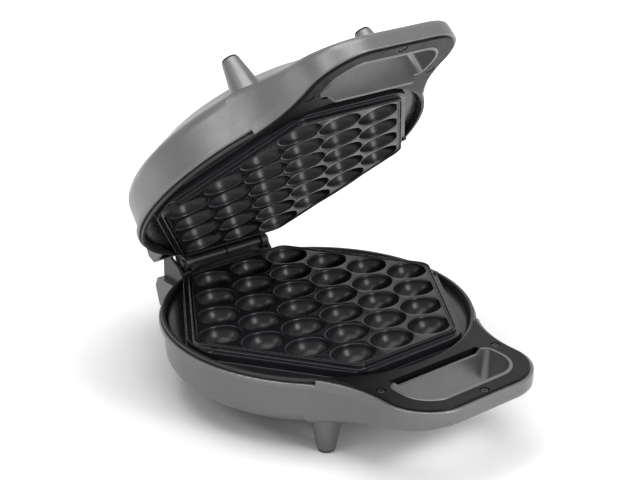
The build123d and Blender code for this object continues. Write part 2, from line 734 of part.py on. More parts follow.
def plate():
    """Cast plate: rim, stepped hexagon with a double lip, and thirty cups with their backs."""
    land_under = LAND_TOP - LAND_T
    step_under = STEP_TOP - STEP_T
    with BuildPart() as casting:
        add(layer(PLATE_BOTTOM, STEP_TOP, HEX_STEP, HEX_CORNER))
        add(rods([(0, 0)], PLATE_R, STEP_TOP, STEP_TOP - PLATE_BOTTOM), mode=Mode.INTERSECT)
        add(rods([(0, 0)], PLATE_R, PLATE_RIM_TOP, PLATE_RIM_T))
        add(layer(PLATE_BOTTOM, HEX_LIP_TOP, HEX_OUTER_LIP, HEX_CORNER))
        add(layer(LAND_TOP, HEX_LIP_TOP, HEX_INNER_LIP, HEX_CORNER), mode=Mode.SUBTRACT)
        with BuildSketch(Plane.XY.offset(HEX_LIP_TOP)):
            add(hexagon(HEX_GROOVE_OUT, HEX_CORNER))
            add(hexagon(HEX_GROOVE_IN, HEX_CORNER), mode=Mode.SUBTRACT)
        extrude(amount=-GROOVE_DEPTH, mode=Mode.SUBTRACT)
        add(layer(PLATE_BOTTOM, step_under, HEX_OUTER_LIP, HEX_CORNER), mode=Mode.SUBTRACT)
        add(layer(step_under, land_under, HEX_INNER_LIP, HEX_CORNER), mode=Mode.SUBTRACT)
        add(cup_backs())
        add(egg_shapes(CUP_HALF_LENGTH, CUP_DEPTH, CUP_END_R, LAND_TOP + CUP_LIFT), mode=Mode.SUBTRACT)
        add(rods(PLATE_SCREWS, SCREW_R + SCREW_FIT, STEP_TOP, STEP_TOP - PLATE_BOTTOM), mode=Mode.SUBTRACT)
    return casting.part


def cup_backs():
    """Rounded undersides of the cups, cut off inside the land."""
    with BuildPart() as backs:
        add(egg_shapes(CUP_HALF_LENGTH + CUP_WALL_SIDE, CUP_DEPTH + CUP_WALL_SIDE,
                       CUP_END_R + CUP_WALL_SIDE, LAND_TOP - CUP_WALL_DROP))
        split(bisect_by=Plane.XY.offset(LAND_TOP - CUP_WALL_DROP - CUP_BACK_SINK), keep=Keep.BOTTOM)
    return backs.part


# Screws

def screws(places, seat, head_r, head_t, length):
    """Pan head screws that go down from their seat, each with a cross recess."""
    with BuildPart() as group:
        with BuildSketch(Plane.XY.offset(seat)):
            with Locations(*places):
                Circle(head_r)
        extrude(amount=head_t)
        fillet(group.faces().filter_by(Axis.Z).group_by(Axis.Z)[-1].edges(), head_t / 3)
        with BuildSketch(Plane.XY.offset(seat)):
            with Locations(*places):
                Circle(SCREW_R)
        extrude(amount=-length)
        with BuildSketch(Plane.XY.offset(seat + head_t)):
            with Locations(*places):
                Rectangle(2 * SLOT_R, SLOT_W)
                Rectangle(SLOT_W, 2 * SLOT_R)
        extrude(amount=-SLOT_DEPTH, mode=Mode.SUBTRACT)
    return group.part


def foot_screws():
    """Screws that hold the feet from inside the shell."""
    with BuildPart() as group:
        for place in FOOT_PLACES:
            length = FOOT_BOSS_TOP - skin_z(place) + FOOT_SCREW_BITE
            add(screws([place], FOOT_BOSS_TOP, SCREW_HEAD_R, SCREW_HEAD_T, length))
    return group.part


# Feet

def feet():
    """Four tapered feet whose roots follow the shell's shoulder and the arms of the handle."""
    foot_low = FLOOR_Z + PAD_SHOW
    with BuildPart() as group:
        with Locations(*[(x, y, foot_low) for x, y in FOOT_PLACES]):
            Cone(FOOT_TIP_R, FOOT_ROOT_R, SIDE_LOW - foot_low, align=(Align.CENTER, Align.CENTER, Align.MIN))
        add(drum(0, LIP_TOP), mode=Mode.SUBTRACT)
        add(grip_body(), mode=Mode.SUBTRACT)
        add(rods(FOOT_PLACES, PAD_PLUG_R + PAD_FIT, foot_low + PAD_SINK + PAD_FIT, PAD_SINK + PAD_FIT),
            mode=Mode.SUBTRACT)
        for place in FOOT_PLACES:
            depth = SIDE_LOW - skin_z(place) + FOOT_SCREW_BITE + SCREW_FIT
            add(rods([place], SCREW_R + THREAD_FIT, SIDE_LOW, depth), mode=Mode.SUBTRACT)
    return group.part


def foot_pads():
    """Rubber tips with a plug in each foot."""
    with BuildPart() as group:
        with BuildSketch(Plane.XY.offset(FLOOR_Z)):
            with Locations(*FOOT_PLACES):
                Circle(PAD_R)
        extrude(amount=PAD_SHOW)
        fillet(group.faces().filter_by(Axis.Z).group_by(Axis.Z)[0].edges(), PAD_ROUND)
        add(rods(FOOT_PLACES, PAD_PLUG_R, FLOOR_Z + PAD_SHOW + PAD_SINK, PAD_SINK))
    return group.part


# Hinge

def across(low_x, high_x):
    """Plane across the hinge axis at low_x, with its sketch axes along Y and Z, and the depth to high_x."""
    return Plane(origin=(low_x, 0, 0), x_dir=(0, 1, 0), z_dir=(1, 0, 0)), high_x - low_x


def hinge_slices(spans, radius):
    """Round bars on the hinge axis, one for each span along X."""
    with BuildPart() as bars:
        for low_x, high_x in spans:
            plane, depth = across(low_x, high_x)
            with BuildSketch(plane):
                with Locations((HINGE_Y, HINGE_Z)):
                    Circle(radius)
            extrude(amount=depth)
    return bars.part


def both_sides(low_x, high_x):
    """A span along X and its mirror image."""
    return [(-high_x, -low_x), (low_x, high_x)]


def hinge_block():
    """Black block on the base's rear shoulder: hump, cheeks, notches for the ears and two knuckles."""
    notch_in = EAR_IN - EAR_FIT
    notch_out = BLOCK_HALF - CHEEK
    hump = [(HINGE_Y + y, HINGE_Z + z) for y, z in HUMP]
    with BuildPart() as block:
        with BuildSketch(Plane.YZ):
            with BuildLine():
                Polyline((hump[0][0], BULGE_TOP), *hump, (hump[-1][0], BULGE_TOP), close=True)
            make_face()
        extrude(amount=BLOCK_HALF, both=True)
        add(rods([(0, 0)], RING_R + RING_CLEAR, 2 * HINGE_Z, 2 * HINGE_Z - BULGE_TOP), mode=Mode.SUBTRACT)
        for low_x, high_x in both_sides(notch_in, notch_out):
            plane, depth = across(low_x, high_x)
            with BuildSketch(plane):
                with Locations((HINGE_Y, EAR_NOTCH_FLOOR)):
                    Rectangle(BODY_R, BODY_R, align=(Align.CENTER, Align.MIN))
            extrude(amount=depth, mode=Mode.SUBTRACT)
        for low_x, high_x in both_sides(KNUCKLE_GAP / 2, notch_in):
            plane, depth = across(low_x, high_x)
            with BuildSketch(plane):
                with Locations((HINGE_Y, HINGE_Z)):
                    Circle(KNUCKLE_R)
                with BuildLine():
                    Polyline(*[(HINGE_Y + y, HINGE_Z + z) for y, z in KNUCKLE_WEB], close=True)
                make_face()
            extrude(amount=depth)
        add(hinge_slices([(-notch_in, notch_in)], PIN_R + PIN_FIT), mode=Mode.SUBTRACT)
        add(rods(BASE_HINGE_SCREWS, SCREW_R + SCREW_FIT, EAR_NOTCH_FLOOR, EAR_NOTCH_FLOOR - BULGE_TOP),
            mode=Mode.SUBTRACT)
    return block.part


def hinge_pin():
    """Pin through the knuckles and ears, with a flat head at each end."""
    head_in = EAR_OUT + PIN_FIT
    with BuildPart() as pin:
        add(hinge_slices([(-head_in, head_in)], PIN_R))
        add(hinge_slices(both_sides(head_in, head_in + PIN_HEAD_T), PIN_HEAD_R))
    return pin.part


def lid_hinge_cover():
    """Black cover in the lid's rear shoulder, with the two ears that turn on the pin. Drawn shut."""
    face = HINGE_Z + HINGE_COVER_RISE
    half = BULGE_HALF - WALL - HINGE_COVER_FIT
    rear = BULGE_TOP_REAR - WALL - HINGE_COVER_FIT
    with BuildPart() as cover:
        with BuildSketch(Plane.XY.offset(face)):
            with Locations((0, NOTCH_FRONT)):
                Rectangle(2 * half, rear - NOTCH_FRONT, align=(Align.CENTER, Align.MIN))
            Circle(BODY_R + HINGE_COVER_FIT, mode=Mode.SUBTRACT)
        extrude(amount=HINGE_COVER_T)
        for low_x, high_x in both_sides(EAR_IN, EAR_OUT):
            plane, depth = across(low_x, high_x)
            with BuildSketch(plane):
                with Locations((HINGE_Y, HINGE_Z)):
                    Circle(EAR_R)
                with Locations((STEM_FRONT, HINGE_Z)):
                    Rectangle(STEM_REAR - STEM_FRONT, HINGE_COVER_RISE, align=(Align.MIN, Align.MIN))
            extrude(amount=depth)
        add(hinge_slices([(-EAR_OUT, EAR_OUT)], PIN_R + PIN_FIT), mode=Mode.SUBTRACT)
        screw_top = face + HINGE_COVER_T
        add(rods(LID_HINGE_SCREWS, SCREW_R + SCREW_FIT, screw_top, HINGE_COVER_T), mode=Mode.SUBTRACT)
        add(rods(LID_HINGE_SCREWS, SCREW_RECESS_R, face + SMALL_HEAD_T, SMALL_HEAD_T), mode=Mode.SUBTRACT)
    return cover.part


# Heating

def heating_tube():
    """Tubular element: a hexagonal loop under the cups with two legs that turn in at the rear."""
    route = [
        (-TUBE_LEG_X, TUBE_LEG_END), (-TUBE_LEG_X, TUBE_ROW), (-TUBE_SIDE_X, TUBE_ROW), (-TUBE_REACH, 0),
        (-TUBE_SIDE_X, -TUBE_ROW), (TUBE_SIDE_X, -TUBE_ROW), (TUBE_REACH, 0), (TUBE_SIDE_X, TUBE_ROW),
        (TUBE_LEG_X, TUBE_ROW), (TUBE_LEG_X, TUBE_LEG_END),
    ]
    points = [(x, y, TUBE_Z) for x, y in route]
    with BuildPart() as tube:
        with BuildLine():
            FilletPolyline(*points, radius=TUBE_BEND)
        with BuildSketch(Plane(origin=points[0], z_dir=(0, 1, 0))):
            Circle(TUBE_R)
        sweep()
        with Locations(*[(x, TUBE_LEG_END - PIN_TERMINAL_L / 2, TUBE_Z) for x in (-TUBE_LEG_X, TUBE_LEG_X)]):
            Cylinder(PIN_TERMINAL_R, PIN_TERMINAL_L, rotation=(90, 0, 0))
    return tube.part


def element_clips():
    """Four open cradles that stand on the reflector and carry the element."""
    with BuildPart() as clips:
        for x, y in CLIP_PLACES:
            with BuildSketch(Plane.YZ.offset(x - CLIP_L / 2)):
                with Locations((y, DISH_FLOOR)):
                    Rectangle(CLIP_FOOT, CLIP_WALL, align=(Align.CENTER, Align.MIN))
                    Rectangle(CLIP_WALL, TUBE_Z - DISH_FLOOR, align=(Align.CENTER, Align.MIN))
                with Locations((y, TUBE_Z)):
                    Circle(TUBE_R + CLIP_WALL)
                    Circle(TUBE_R + PIN_FIT, mode=Mode.SUBTRACT)
                with Locations((y, TUBE_Z + CLIP_WALL)):
                    Rectangle(CLIP_FOOT, CLIP_FOOT, align=(Align.CENTER, Align.MIN), mode=Mode.SUBTRACT)
            extrude(amount=CLIP_L)
    return clips.part


def reflector():
    """Pressed dish that throws the heat back to the plate."""
    with BuildPart() as dish:
        with BuildSketch(Plane.XZ):
            with BuildLine():
                Polyline(
                    (0, DISH_FLOOR), (DISH_R - DISH_RISE, DISH_FLOOR), (DISH_R, DISH_FLOOR + DISH_RISE),
                    (DISH_R + DISH_T, DISH_FLOOR + DISH_RISE),
                    (DISH_R - DISH_RISE + DISH_T / 2, DISH_FLOOR - DISH_T), (0, DISH_FLOOR - DISH_T), close=True,
                )
            make_face()
        revolve(axis=Axis.Z)
        add(rods(DISH_POSTS, SCREW_R + SCREW_FIT, DISH_FLOOR, DISH_T), mode=Mode.SUBTRACT)
    return dish.part


# Controls and wiring points

def thermostat():
    """Disc thermostat under a cup, with a flange and two tabs."""
    top = CUP_BACK_LOW - TUBE_GAP
    low = top - STAT_H
    with BuildPart() as body:
        add(rods([(0, -ROW_PITCH)], STAT_R, top, STAT_H))
        add(rods([(0, -ROW_PITCH)], STAT_FLANGE_R, low + STAT_FLANGE_T, STAT_FLANGE_T))
        with BuildSketch(Plane.XY.offset(low)):
            with Locations((-STAT_R / 2, -ROW_PITCH), (STAT_R / 2, -ROW_PITCH)):
                Rectangle(TAB_T, TAB_W)
        extrude(amount=-TAB_L)
    return body.part


def thermostat_bracket():
    """Sheet bracket that stands on the reflector and carries the thermostat by its flange."""
    top = CUP_BACK_LOW - TUBE_GAP - STAT_H
    half = STAT_FLANGE_R + BRACKET_T
    with BuildPart() as bracket:
        with BuildSketch(Plane.XZ.offset(ROW_PITCH - BRACKET_W / 2)):
            with BuildLine():
                Polyline(
                    (-half - BRACKET_FOOT, DISH_FLOOR), (-half - BRACKET_FOOT, DISH_FLOOR + BRACKET_T),
                    (-half, DISH_FLOOR + BRACKET_T), (-half, top), (half, top),
                    (half, DISH_FLOOR + BRACKET_T), (half + BRACKET_FOOT, DISH_FLOOR + BRACKET_T),
                    (half + BRACKET_FOOT, DISH_FLOOR), (half - BRACKET_T, DISH_FLOOR),
                    (half - BRACKET_T, top - BRACKET_T), (BRACKET_T - half, top - BRACKET_T),
                    (BRACKET_T - half, DISH_FLOOR), close=True,
                )
            make_face()
        extrude(amount=BRACKET_W)
        with BuildSketch(Plane.XY.offset(top)):
            with Locations((0, -ROW_PITCH)):
                Rectangle(STAT_R + 2 * TAB_T, TAB_W + 2 * TAB_T)
        extrude(amount=-BRACKET_T, mode=Mode.SUBTRACT)
    return bracket.part


def thermal_fuse():
    """Cut-out cartridge on the reflector with its two wire ends."""
    axis_z = DISH_FLOOR + FUSE_CRADLE + FUSE_R
    with BuildPart() as fuse:
        with Locations((0, FUSE_Y, axis_z)):
            Cylinder(FUSE_R, FUSE_L, rotation=(0, 90, 0))
            Cylinder(FUSE_WIRE_R, FUSE_L + 2 * FUSE_WIRE_L, rotation=(0, 90, 0))
    return fuse.part


def fuse_clip():
    """Saddle that holds the cut-out on the reflector."""
    axis_z = DISH_FLOOR + FUSE_CRADLE + FUSE_R
    with BuildPart() as clip:
        with BuildSketch(Plane.YZ.offset(-CLIP_L / 2)):
            with Locations((FUSE_Y, DISH_FLOOR)):
                Rectangle(CLIP_FOOT, FUSE_CRADLE, align=(Align.CENTER, Align.MIN))
            with Locations((FUSE_Y, axis_z)):
                Circle(FUSE_R + FUSE_CRADLE)
                Circle(FUSE_R + PIN_FIT, mode=Mode.SUBTRACT)
            with Locations((FUSE_Y, DISH_FLOOR)):
                Rectangle(CLIP_FOOT, CLIP_FOOT, align=(Align.CENTER, Align.MAX), mode=Mode.SUBTRACT)
        extrude(amount=CLIP_L)
    return clip.part


def terminal_block():
    """Screw terminal block on two posts in the base's rear shoulder."""
    with BuildPart() as block:
        with BuildSketch(Plane.XY.offset(TERMINAL_SEAT)):
            with Locations((BLOCK_X, BLOCK_Y)):
                Rectangle(BLOCK_L, BLOCK_W)
        extrude(amount=BLOCK_H)
        with BuildSketch(Plane.XY.offset(TERMINAL_SEAT + BLOCK_H)):
            with Locations((BLOCK_X, BLOCK_Y)):
                with GridLocations(BLOCK_L / BLOCK_POLES, BLOCK_W / 2, BLOCK_POLES, 2):
                    Circle(TERMINAL_SCREW_R)
        extrude(amount=-TERMINAL_SCREW_R, mode=Mode.SUBTRACT)
        add(rods(TERMINAL_SCREWS, SCREW_R + SCREW_FIT, TERMINAL_SEAT + BLOCK_H, BLOCK_H), mode=Mode.SUBTRACT)
        add(rods(TERMINAL_SCREWS, SCREW_RECESS_R, TERMINAL_SEAT + BLOCK_H, SCREW_RECESS), mode=Mode.SUBTRACT)
    return block.part


def cord_gland():
    """Bush in the base's rear wall for the mains lead: flange outside, collar inside."""
    with BuildPart() as gland:
        with BuildSketch(Plane.XZ.offset(-BULGE_TOP_REAR + GLAND_NUT_INSET)):
            with Locations((GLAND_X, GLAND_Z)):
                Circle(GLAND_FLANGE_R)
        extrude(amount=-BULGE_REAR + BULGE_TOP_REAR - GLAND_NUT_INSET)
        add(bulge(0, BULGE_TOP, CROWN_R), mode=Mode.SUBTRACT)
        with BuildSketch(Plane.XZ.offset(-BULGE_REAR)):
            with Locations((GLAND_X, GLAND_Z)):
                Circle(GLAND_R)
        extrude(amount=GLAND_L)
        with BuildSketch(Plane.XZ.offset(-BULGE_REAR + GLAND_L)):
            with Locations((GLAND_X, GLAND_Z)):
                Circle(GLAND_NUT_R)
        extrude(amount=-GLAND_FLANGE_T)
        with BuildSketch(Plane.XZ.offset(-BULGE_REAR)):
            with Locations((GLAND_X, GLAND_Z)):
                Circle(GLAND_BORE)
        extrude(amount=GLAND_L, mode=Mode.SUBTRACT)
    return gland.part


def signal_lamp(place):
    """Clear lens in the lid's crown, drawn in the base's frame."""
    top = BOARD_SEAT - LAMP_GAP
    with BuildPart() as lamp:
        add(rods([place], LAMP_R, top, top - skin_z(place) + LAMP_PROUD))
        fillet(lamp.faces().filter_by(Axis.Z).group_by(Axis.Z)[0].edges(), LAMP_ROUND)
    return lamp.part


def lamp_board():
    """Circuit board behind the lenses, on two posts."""
    with BuildPart() as board:
        with BuildSketch(Plane.XY.offset(BOARD_SEAT)):
            with Locations((0, LAMP_Y)):
                Rectangle(BOARD_L, BOARD_W)
            with Locations(*BOARD_SCREWS):
                Circle(SCREW_R + SCREW_FIT, mode=Mode.SUBTRACT)
        extrude(amount=BOARD_T)
    return board.part


# The whole maker

def half(side, is_lid):
    """Pieces that both halves have, by node name, drawn in the base's frame."""
    tip = SCREW_BITE - TIP_GAP
    under = COVER_TOP - COVER_T
    cover_seat = COVER_TOP - SCREW_RECESS
    return {
        side + "_housing": housing(is_lid),
        side + "_bezel_ring": bezel_ring(),
        side + "_handle_cover": handle_cover(),
        side + "_handle_screws": screws(
            COVER_SCREWS, cover_seat, SCREW_HEAD_R, SCREW_HEAD_T, cover_seat - under + tip),
        side + "_plate_screws": screws(
            PLATE_SCREWS, STEP_TOP, SMALL_HEAD_R, SMALL_HEAD_T, STEP_TOP - PLATE_BOTTOM + tip),
        side + "_heating_element": heating_tube(),
        side + "_element_clips": element_clips(),
        side + "_reflector": reflector(),
        side + "_reflector_screws": screws(
            DISH_POSTS, DISH_FLOOR, SCREW_HEAD_R, SCREW_HEAD_T, DISH_T + tip),
        side + "_thermal_fuse": thermal_fuse(),
        side + "_fuse_clip": fuse_clip(),
        side + "_feet": feet(),
        side + "_foot_pads": foot_pads(),
        side + "_foot_screws": foot_screws(),
    }


def base_only():
    """Pieces of the base alone."""
    terminal_top = TERMINAL_SEAT + BLOCK_H - SCREW_RECESS
    hinge_reach = EAR_NOTCH_FLOOR - BULGE_TOP + HINGE_SCREW_BITE - TIP_GAP
    return {
        "thermostat": thermostat(),
        "thermostat_bracket": thermostat_bracket(),
        "terminal_block": terminal_block(),
        "terminal_screws": screws(TERMINAL_SCREWS, terminal_top, SCREW_HEAD_R, SCREW_HEAD_T,
                                  terminal_top - TERMINAL_SEAT + TERMINAL_BITE - TIP_GAP),
        "cord_gland": cord_gland(),
        "hinge_block": hinge_block(),
        "hinge_pin": hinge_pin(),
        "hinge_block_screws": screws(
            BASE_HINGE_SCREWS, EAR_NOTCH_FLOOR, SMALL_HEAD_R, SMALL_HEAD_T, hinge_reach),
    }


def lid_only():
    """Pieces of the lid alone, drawn in the base's frame like the lid's other pieces."""
    board_top = BOARD_SEAT + BOARD_T
    hinge_seat = HINGE_COVER_FACE - SMALL_HEAD_T
    hinge_reach = HINGE_COVER_T - SMALL_HEAD_T + SCREW_BITE - TIP_GAP
    return {
        "power_lamp": signal_lamp(LAMP_PLACES[0]),
        "ready_lamp": signal_lamp(LAMP_PLACES[1]),
        "lamp_board": lamp_board(),
        "lamp_board_screws": screws(BOARD_SCREWS, board_top, SCREW_HEAD_R, SCREW_HEAD_T,
                                    BOARD_T + BOARD_SCREW_BITE - TIP_GAP),
        "hinge_cover_screws": screws(
            LID_HINGE_SCREWS, hinge_seat, SCREW_HEAD_R, SMALL_HEAD_T, hinge_reach),
    }


casting = plate()
pieces = half("base", False) | base_only()
pieces["base_plate"] = casting
lid_pieces = half("lid", True) | lid_only()
lid_pieces["lid_plate"] = casting
pieces.update((name, as_lid(piece)) for name, piece in lid_pieces.items())
pieces["lid_hinge_cover"] = swing(lid_hinge_cover())

# The origin goes to the bottom centre of the open maker
boxes = [piece.bounding_box() for piece in pieces.values()]
middle_x = (min(box.min.X for box in boxes) + max(box.max.X for box in boxes)) / 2
middle_y = (min(box.min.Y for box in boxes) + max(box.max.Y for box in boxes)) / 2
shift = Location((-middle_x, -middle_y, -min(box.min.Z for box in boxes)))
for name, piece in pieces.items():
    placed = piece.moved(shift)
    placed.label = name
    export_step(placed, f"parts/{name}.step")

print("pieces", len(pieces), "shift", shift.position)
print("hinge axis", shift.position + Vector(0, HINGE_Y, HINGE_Z))
print("hinge range", -REST_OPENING, FULL_OPENING - REST_OPENING)
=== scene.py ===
"""Looks of the bubble waffle maker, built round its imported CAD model.

The base stands still and the lid turns on the hinge pin. Sizes in the dataclasses are millimetres in the
frame in which one half is drawn: X along the hinge, Y from the handle back to the hinge, Z up from the top
of the bezel ring. Side.place moves a mesh from there into the model's own frame, in metres.
"""
import json
import logging
import math
from dataclasses import dataclass
from enum import Enum
from typing import Any, Sequence

import bmesh
import bpy
from mathutils import Matrix, Vector
from mathutils.geometry import delaunay_2d_cdt


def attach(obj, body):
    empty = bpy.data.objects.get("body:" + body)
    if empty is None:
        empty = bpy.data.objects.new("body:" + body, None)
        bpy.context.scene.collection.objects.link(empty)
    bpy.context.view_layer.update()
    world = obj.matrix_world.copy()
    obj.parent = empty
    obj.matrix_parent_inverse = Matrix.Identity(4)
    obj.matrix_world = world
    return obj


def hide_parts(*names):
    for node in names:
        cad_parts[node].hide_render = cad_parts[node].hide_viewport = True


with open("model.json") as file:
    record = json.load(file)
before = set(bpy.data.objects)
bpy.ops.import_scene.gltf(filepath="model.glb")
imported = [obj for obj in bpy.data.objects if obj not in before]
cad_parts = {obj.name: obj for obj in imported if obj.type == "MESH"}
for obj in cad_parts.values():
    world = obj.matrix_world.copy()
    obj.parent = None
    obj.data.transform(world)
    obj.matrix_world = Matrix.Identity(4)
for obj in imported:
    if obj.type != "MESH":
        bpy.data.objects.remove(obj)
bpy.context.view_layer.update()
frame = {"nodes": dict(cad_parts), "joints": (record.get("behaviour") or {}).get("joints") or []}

log = logging.getLogger("waffle_maker")

MM = 0.001
HINGE_Y = 101.8         # the hinge pin's axis in the drawing
HINGE_Z = 6.4
PARTING_Z = 5.5         # the plane in which the lid mirrors the base when it is closed
CIRCLE_STEPS = 192      # divisions of a full turned piece
MERGE_MM = 0.004        # points of a drawn mesh nearer than this are one
COPY_MERGE = 2e-6       # the same for a copied CAD mesh, in metres
SLIVER_MM = 0.001       # edges of a drawn mesh shorter than this go
FLAT_ANGLE = 0.03       # degrees within which neighbouring faces are one flat face
SMOOTH_BELOW = 40.0     # degrees below which an edge of a drawn mesh is shaded smooth
SOFT_EDGE = 62.0        # the same for a CAD mesh whose edges are softened
AREA_WEIGHT = 97        # how much of a corner's normal its larger faces decide, out of 100
TRIANGLE_SNAP = 1e-5    # points of the plate's land nearer than this are one

Point2 = tuple[float, float]
Point3 = tuple[float, float, float]


class Side(Enum):
    """The two halves, each named for the CAD body that carries it."""

    BASE = "base"
    LID = "lid"

    def place(self) -> Matrix:
        """Give the matrix from the drawing's millimetres to this half's place in metres."""
        joint = frame["joints"][0]
        pin = Vector(joint["pos_m"])
        shift = Matrix.Translation(pin) @ Matrix.Scale(MM, 4)
        to_pin = Matrix.Translation((0, -HINGE_Y, -HINGE_Z))
        if self is Side.BASE:
            return shift @ to_pin
        opening = Matrix.Rotation(math.radians(joint["range_deg"][0]), 4, "X")
        middle = Matrix.Translation((0, 0, 2 * PARTING_Z))
        mirror = middle @ Matrix.Scale(-1, 4, (0, 0, 1))
        return shift @ opening @ to_pin @ mirror


class Grain(Enum):
    """Fine patterns that a finish can have, each with what it is on the real surface."""

    FLECK = "aluminium flakes under clear lacquer"
    STIPPLE = "spark-eroded stipple of a mould"
    CAST = "soft mottle of a coated casting"
    DRAWN = "lines of rolled or drawn metal"
    SMOOTH = "slight waviness of a polished mould"


# Materials

def linear(colour: str, alpha: float = 1.0) -> tuple[float, float, float, float]:
    """Turn an sRGB hex colour into linear values.

    Args:
        colour: six hex digits with a leading hash.
        alpha: fourth value of the result.

    Returns:
        Red, green, blue and alpha.
    """
    parts = [int(colour[i:i + 2], 16) / 255 for i in (1, 3, 5)]
    lin = [v / 12.92 if v <= 0.04045 else ((v + 0.055) / 1.055) ** 2.4 for v in parts]
    return (lin[0], lin[1], lin[2], alpha)


def add_node(tree: bpy.types.NodeTree, kind: str, settings: dict[str, Any] | None = None,
             values: dict[Any, Any] | None = None, links: dict[Any, Any] | None = None) -> bpy.types.Node:
    """Add one node, set it up and link it.

    Args:
        tree: node tree of a material, the world or a Geometry Nodes modifier.
        kind: the node's type.
        settings: properties of the node itself.
        values: what input sockets hold, by the socket's name or number.
        links: output sockets that feed input sockets, by the input's name or number.

    Returns:
        The new node.
    """
    node = tree.nodes.new(kind)
    for key, value in (settings or {}).items():
        setattr(node, key, value)
    for key, value in (values or {}).items():
        node.inputs[key].default_value = value
    for key, source in (links or {}).items():
        tree.links.new(source, node.inputs[key])
    return node


LINE_STRETCH = (1.0, 1.0, 0.06)     # how far drawn lines run, against their width
NOISE_ROUGHNESS = 0.55
BROAD_GRAINS = 18                   # grains across one wave of the polish
FLECK_BAND = 0.12                   # half width of the noise's band that turns to the second colour
MOTTLE_BAND = 0.35
POLISH_BAND = (0.3, 0.7)            # the noise's band over which the roughness swings


@dataclass(frozen=True)
class Finish:
    """A surface finish, built once as a procedural material on Object coordinates.

    grain_mm is the size of the pattern's marks, second their colour, share how much of it shows, relief_mm
    the depth of the marks, polish the swing of the roughness and clear the light that a lens lets through.
    """

    name: str
    slot: str
    colour: str
    second: str
    roughness: float
    metallic: float = 0.0
    ior: float = 1.5
    specular: float = 0.5
    grain: Grain = Grain.SMOOTH
    grain_mm: float = 1.0
    share: float = 0.3
    relief_mm: float = 0.0
    polish: float = 0.05
    coat: float = 0.0
    coat_roughness: float = 0.1
    clear: float = 0.0

    def material(self) -> bpy.types.Material:
        """Give the material, and build it on the first call."""
        found = bpy.data.materials.get(self.name)
        if found:
            return found
        made = bpy.data.materials.new(self.name)
        made.use_nodes = True
        tree = made.node_tree
        shader = tree.nodes["Principled BSDF"]
        shader.inputs["Metallic"].default_value = self.metallic
        shader.inputs["IOR"].default_value = self.ior
        shader.inputs["Specular IOR Level"].default_value = self.specular
        shader.inputs["Coat Weight"].default_value = self.coat
        shader.inputs["Coat Roughness"].default_value = self.coat_roughness
        shader.inputs["Transmission Weight"].default_value = self.clear
        made.diffuse_color = linear(self.colour)
        self.pattern(tree, shader)
        return made

    def pattern(self, tree: bpy.types.NodeTree, shader: bpy.types.Node) -> None:
        """Drive colour, roughness and relief from one fine noise.

        Args:
            tree: the material's node tree.
            shader: its Principled node.
        """
        place = add_node(tree, "ShaderNodeTexCoord")
        stretch = LINE_STRETCH if self.grain is Grain.DRAWN else (1.0, 1.0, 1.0)
        scaled = add_node(tree, "ShaderNodeMapping", values={"Scale": stretch},
                          links={"Vector": place.outputs["Object"]})
        fine = add_node(tree, "ShaderNodeTexNoise",
                        values={"Scale": 1.0 / (self.grain_mm * MM), "Detail": 2.0,
                                "Roughness": NOISE_ROUGHNESS},
                        links={"Vector": scaled.outputs["Vector"]})
        broad = add_node(tree, "ShaderNodeTexNoise",
                         values={"Scale": 1.0 / (BROAD_GRAINS * self.grain_mm * MM), "Detail": 3.0},
                         links={"Vector": scaled.outputs["Vector"]})
        sharp = FLECK_BAND if self.grain is Grain.FLECK else MOTTLE_BAND
        marks = add_node(tree, "ShaderNodeMapRange",
                         values={"From Min": 0.5 - sharp, "From Max": 0.5 + sharp, "To Min": 0.0,
                                 "To Max": self.share},
                         links={"Value": fine.outputs["Fac"]})
        tone = add_node(tree, "ShaderNodeMix", settings={"data_type": "RGBA"},
                        values={6: linear(self.colour), 7: linear(self.second)},
                        links={0: marks.outputs["Result"]})
        tree.links.new(tone.outputs[2], shader.inputs["Base Color"])
        gloss = add_node(tree, "ShaderNodeMapRange",
                         values={"From Min": POLISH_BAND[0], "From Max": POLISH_BAND[1],
                                 "To Min": self.roughness - self.polish,
                                 "To Max": self.roughness + self.polish},
                         links={"Value": broad.outputs["Fac"]})
        tree.links.new(gloss.outputs["Result"], shader.inputs["Roughness"])
        if self.relief_mm:
            bump = add_node(tree, "ShaderNodeBump",
                            values={"Strength": 1.0, "Distance": self.relief_mm * MM},
                            links={"Height": fine.outputs["Fac"]})
            tree.links.new(bump.outputs["Normal"], shader.inputs["Normal"])


# Die-cast shell in metallic paint: an even grey with tiny flakes, and broad soft highlights. The flakes are
# 0.05 to 0.1 mm, drawn at 0.7 mm so that they show
METALLIC_LACQUER = Finish("metallic_grey_lacquer", "shell_grey", "#646465", "#767677", 0.38, metallic=0.7,
                          grain=Grain.FLECK, grain_mm=0.7, share=0.45, relief_mm=0.004, coat=0.15,
                          coat_roughness=0.3)
# Glass-filled PA moulding of the bezel rings: charcoal, matt, with a faint stipple
BEZEL_PA = Finish("glass_filled_pa", "bezel_black", "#222223", "#2a2a2b", 0.46, specular=0.4,
                  grain=Grain.STIPPLE, grain_mm=0.5, relief_mm=0.006)
# PBT cover of the handles: near black, satin, smooth
COVER_PBT = Finish("satin_black_pbt", "cover_black", "#111112", "#171718", 0.36, specular=0.1,
                   grain=Grain.STIPPLE, grain_mm=0.6, relief_mm=0.004)
# PTFE coating sprayed on the cast aluminium plate: dark with a cool tint, a satin sheen and faint specks
PTFE_COATING = Finish("ptfe_coated_aluminium", "coated_plate", "#161619", "#1f1f25", 0.27, ior=1.4,
                      specular=0.35, grain=Grain.CAST, grain_mm=0.6, share=0.3, relief_mm=0.0015, polish=0.03)
# PBT of the hinge's block and cover: the same plastic a shade lighter, with a firmer sheen on its round parts
HINGE_PBT = Finish("satin_grey_pbt", "cover_black", "#2c2c2e", "#343436", 0.3, specular=0.5,
                   grain=Grain.STIPPLE, grain_mm=0.6, relief_mm=0.003)
